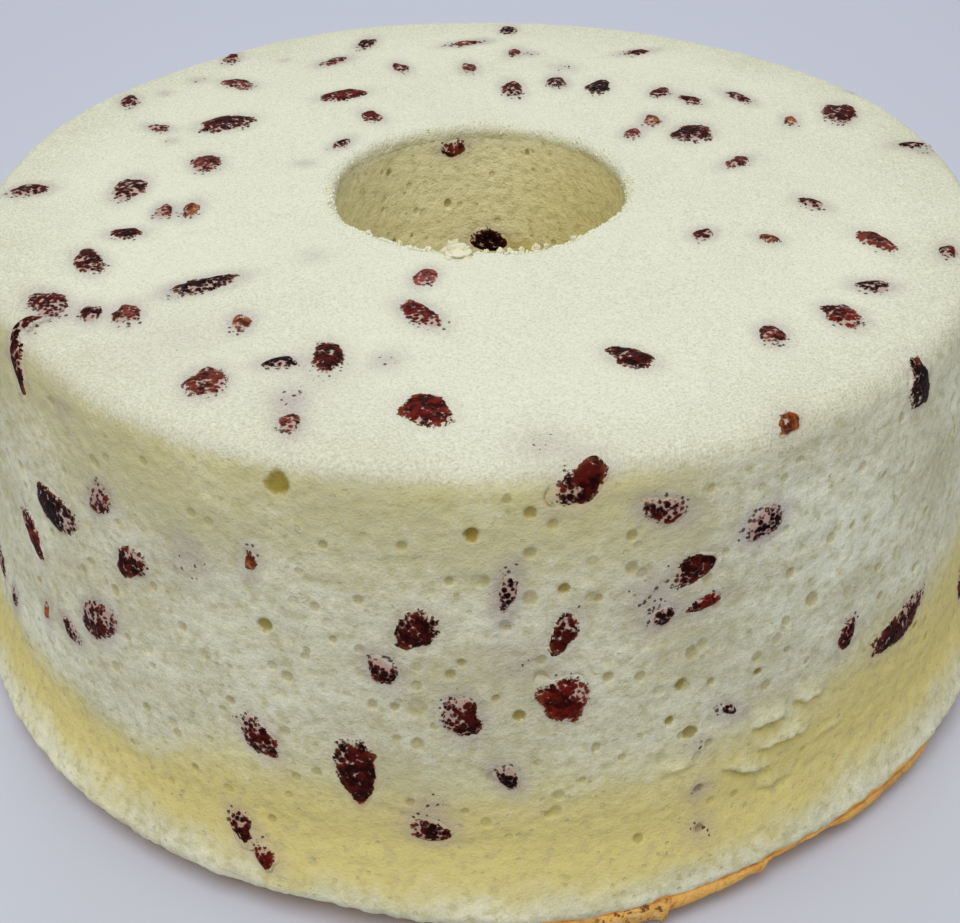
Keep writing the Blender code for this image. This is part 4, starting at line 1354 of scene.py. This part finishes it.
@dataclass
class LooseCrumbs:
    """Grains of crumb that stand on the skin, mostly round the rim of the hole."""

    form: CakeForm
    rim_grains: int = 2200
    top_grains: int = 60
    side_grains: int = 60
    seed: int = 5

    def icosahedron(self) -> tuple[Array, Array]:
        """Return an icosahedron's twelve corners, from the golden ratio, and its twenty faces."""
        gold = (1 + math.sqrt(5)) / 2
        pairs = [(a, b * gold) for a in (-1, 1) for b in (-1, 1)]
        corners = [(0, a, b) for a, b in pairs] + [(a, b, 0) for a, b in pairs] + [(b, 0, a) for a, b in pairs]
        points = np.array(corners) / math.sqrt(1 + gold * gold)
        near = np.linalg.norm(points[:, None] - points[None], axis=-1) < 1.2
        faces = []
        for a, b, c in itertools.combinations(range(12), 3):
            if near[a, b] and near[b, c] and near[a, c]:
                out = np.dot(np.cross(points[b] - points[a], points[c] - points[a]), points[a])
                faces.append((a, b, c) if out > 0 else (a, c, b))
        return points, np.array(faces)

    def places(self, draw: np.random.Generator) -> tuple[Array, Array]:
        """Return the grains' middles and radii: in clusters round the rim, over the top and over the side."""
        form = self.form
        bearing = np.where(draw.random(self.rim_grains) < 0.93, 1.0, 2.0) * math.pi * draw.random(self.rim_grains)
        bearing = bearing + math.pi + 0.10 * np.sin(23 * bearing) + 0.05 * np.sin(57 * bearing + 1)
        angle = np.maximum(draw.normal(0.75, 0.40, self.rim_grains), 0.25)
        rim = form.hole_radius(bearing, form.height) + form.hole_edge_round
        radius = rim - form.hole_edge_round * np.sin(angle)
        height = form.top_height(bearing, rim) - form.hole_edge_round * (1 - np.cos(angle))
        rims = ring(bearing, radius, height)
        bearing = draw.uniform(0, math.tau, self.top_grains)
        radius = np.sqrt(draw.uniform(27**2, 82**2, self.top_grains)) * MM
        height = form.top_height(bearing, np.minimum(radius, 79 * MM)) - np.clip(radius - 79.5 * MM, 0, 1) * 0.3
        tops = ring(bearing, radius, height)
        bearing = draw.uniform(0, math.tau, self.side_grains)
        height = draw.uniform(18 * MM, 73 * MM, self.side_grains)
        sides = ring(bearing, form.side_radius(bearing, height), height)
        sizes = [0.11 + 0.28 * draw.random(self.rim_grains) ** 3, draw.uniform(0.08, 0.15, self.top_grains)]
        sizes.append(draw.uniform(0.08, 0.14, self.side_grains))
        return np.concatenate([rims, tops, sides]), np.concatenate(sizes) * MM

    def build(self, finish: bpy.types.Material) -> bpy.types.Object:
        """Return all the grains as one object: lumpy icosahedra, each with its own three axes' lengths."""
        draw = np.random.default_rng(self.seed)
        middles, radii = self.places(draw)
        corners, faces = self.icosahedron()
        count = len(middles)
        shape = draw.uniform(0.6, 1.4, (count, 12, 1)) * draw.uniform(0.6, 1.3, (count, 1, 3))
        points = middles[:, None] + radii[:, None, None] * corners[None] * shape
        ids = faces[None] + 12 * np.arange(count)[:, None, None]
        return faces_object("crumb_grains", points.reshape(-1, 3), ids.reshape(-1, 3), finish)


@dataclass
class RimFlakes:
    """Torn flakes of crumb that stand on the rim of the hole, each a lumpy squashed ball."""

    form: CakeForm
    rows: int = 24
    columns: int = 36

    def flake(self, row: tuple[float, ...], seed: int) -> Array:
        """Return one flake's points as (rows, columns, 3), each direction of a ball raised to the power 0.8.

        Half the length times the first coordinate runs round the rim, half the depth times the second out from
        it, and the height times the third up. Bumps of two sizes swell them all.
        """
        bearing, length, depth, height, beyond = row
        whole = ball(self.rows, self.columns)[2]
        blunt = np.sign(whole) * np.abs(whole) ** 0.8
        rough = 0.7 * crumble(whole + seed * 7.3, 0.9, 9, 3) + 0.55 * crumble(whole + seed * 3.1, 0.35, 5, 3)
        swollen = blunt * (1 + rough)[..., None] * np.array([length / 2, depth / 2, height]) * MM
        angle = math.radians(bearing)
        rim = float(self.form.hole_radius(angle, self.form.height)) + 0.3 * self.form.hole_edge_round
        across, out, up = swollen.transpose(2, 0, 1)
        radius = rim + beyond * MM + out
        x = radius * math.cos(angle) - across * math.sin(angle)
        y = radius * math.sin(angle) + across * math.cos(angle)
        return np.stack([x, y, self.form.height - 0.4 * MM + up], axis=-1)

    def build(self, finish: bpy.types.Material) -> bpy.types.Object:
        """Return all the flakes as one object."""
        flakes = [self.flake(row, number) for number, row in enumerate(RIM_FLAKES)]
        return lumps_object("rim_flakes", flakes, finish)


# ---------------------------------------------------------------------------------------------------------
# Floor, light and camera.


@dataclass(frozen=True)
class Studio:
    """A plain pale table, soft light from above and the camera."""

    table: Colour = (0.66, 0.69, 0.80)
    sky: Colour = (0.97, 0.97, 0.96)
    sky_strength: float = 0.405
    focal_length: float = 52.92
    distance: float = 278.013 * MM
    elevation: float = 36.291
    roll: float = -0.547
    target: tuple[float, float, float] = (-0.326 * MM, 0.0, 17.98 * MM)

    def floor(self) -> bpy.types.Object:
        """Return the table, a square of 4 m at height 0."""
        mesh = bpy.data.meshes.new("table")
        mesh.from_pydata([(-2, -2, 0), (2, -2, 0), (2, 2, 0), (-2, 2, 0)], [], [(0, 1, 2, 3)])
        mesh.materials.append(Graph("pale_table").finish(Base_Color=self.table, Roughness=0.55))
        return linked("table", mesh)

    def lamp(self, name: str, place: tuple[float, float, float], size: float, power: float, colour: Colour) -> None:
        """Add a square lamp that faces the cake.

        Args:
            name: The lamp's name.
            place: Where it is, in metres.
            size: The length of its side.
            power: Its power in watts.
            colour: Its colour.
        """
        light = bpy.data.lights.new(name, "AREA")
        light.size = size
        light.energy = power
        light.color = colour
        lamp = linked(name, light)
        lamp.location = place
        lamp.rotation_euler = (Vector((0, 0, 40 * MM)) - Vector(place)).to_track_quat("-Z", "Y").to_euler()

    def camera(self) -> None:
        """Add the camera: it looks along +Y and down by its elevation, at its distance from the target."""
        lift, roll = math.radians(self.elevation), math.radians(self.roll)
        ahead, level = Vector((0, math.cos(lift), -math.sin(lift))), Vector((1, 0, 0))
        right = math.cos(roll) * level + math.sin(roll) * level.cross(ahead)
        data = bpy.data.cameras.new("camera")
        data.sensor_width = 36
        data.lens = self.focal_length
        data.clip_start = 0.01
        camera = linked("camera", data)
        axes = Matrix((right, right.cross(ahead), -ahead)).transposed()
        camera.matrix_world = Matrix.Translation(Vector(self.target) - self.distance * ahead) @ axes.to_4x4()
        bpy.context.scene.camera = camera

    def build(self) -> None:
        """Set up the table, the sky, the lamps and the camera."""
        self.floor()
        world = bpy.data.worlds.new("studio")
        world.use_nodes = True
        sky = world.node_tree.nodes["Background"]
        sky.inputs["Color"].default_value = (*self.sky, 1.0)
        sky.inputs["Strength"].default_value = self.sky_strength
        scene = bpy.context.scene
        scene.world = world
        scene.view_settings.view_transform = "Standard"
        self.lamp("lamp_above", (-0.08, -0.34, 0.86), 0.55, 3.85, (1.0, 1.0, 1.0))
        self.lamp("lamp_behind", (0.0, 1.1, 0.9), 1.0, 3.6, (0.90, 0.97, 1.10))
        self.camera()


def settle(piece: bpy.types.Object, nodes: Sequence[str] = ()) -> None:
    """Make a piece ride on the cake and stand for its solids, and report it."""
    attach(piece, "root")
    if nodes:
        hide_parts(*nodes)
    triangles = sum(len(face.vertices) - 2 for face in piece.data.polygons)
    LOG.info("%s: %d triangles, stands for %d solids", piece.name, triangles, len(nodes))


def plain(corners: tuple[Vector, Vector]) -> list[list[float]]:
    """Return a box's two corners as plain lists."""
    return [list(corner) for corner in corners]


def main() -> None:
    """Dress the cake, piece by piece."""
    logging.basicConfig(level=logging.INFO, format="%(message)s")
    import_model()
    Studio().build()
    form = CakeForm()
    bowl = FruitBowl(form)
    berries, chips = bowl.berries(), bowl.chips()
    crumb, crust, skin = CrumbFinish().build(), CrustFinish().build(), CranberryFinish().build()
    every = [piece for group in berries.values() for piece in group] + chips
    sponge = SpongeSkin(form, every)
    for shell in sponge.build(crumb, crust):
        settle(shell, ["sponge"])
    for zone, group in berries.items():
        names = [f"cranberry_{zone.value}_{number:02d}" for number in range(1, len(group) + 1)]
        settle(CranberryPieces(sponge).batch(f"cranberries_{zone.value}", group, skin), names)
    small = CranberryPieces(sponge, half_thickness=1.0 * MM, sunk=0.7 * MM, columns=32, rows=18)
    settle(small.batch("cranberry_chips", chips, skin))
    grain = GrainFinish().build()
    settle(LooseCrumbs(form).build(grain))
    torn = GrainFinish("torn_flake", (0.88, 0.86, 0.66), (0.86, 0.80, 0.56)).build()
    settle(RimFlakes(form).build(torn))


if __name__ == "__main__":
    main()
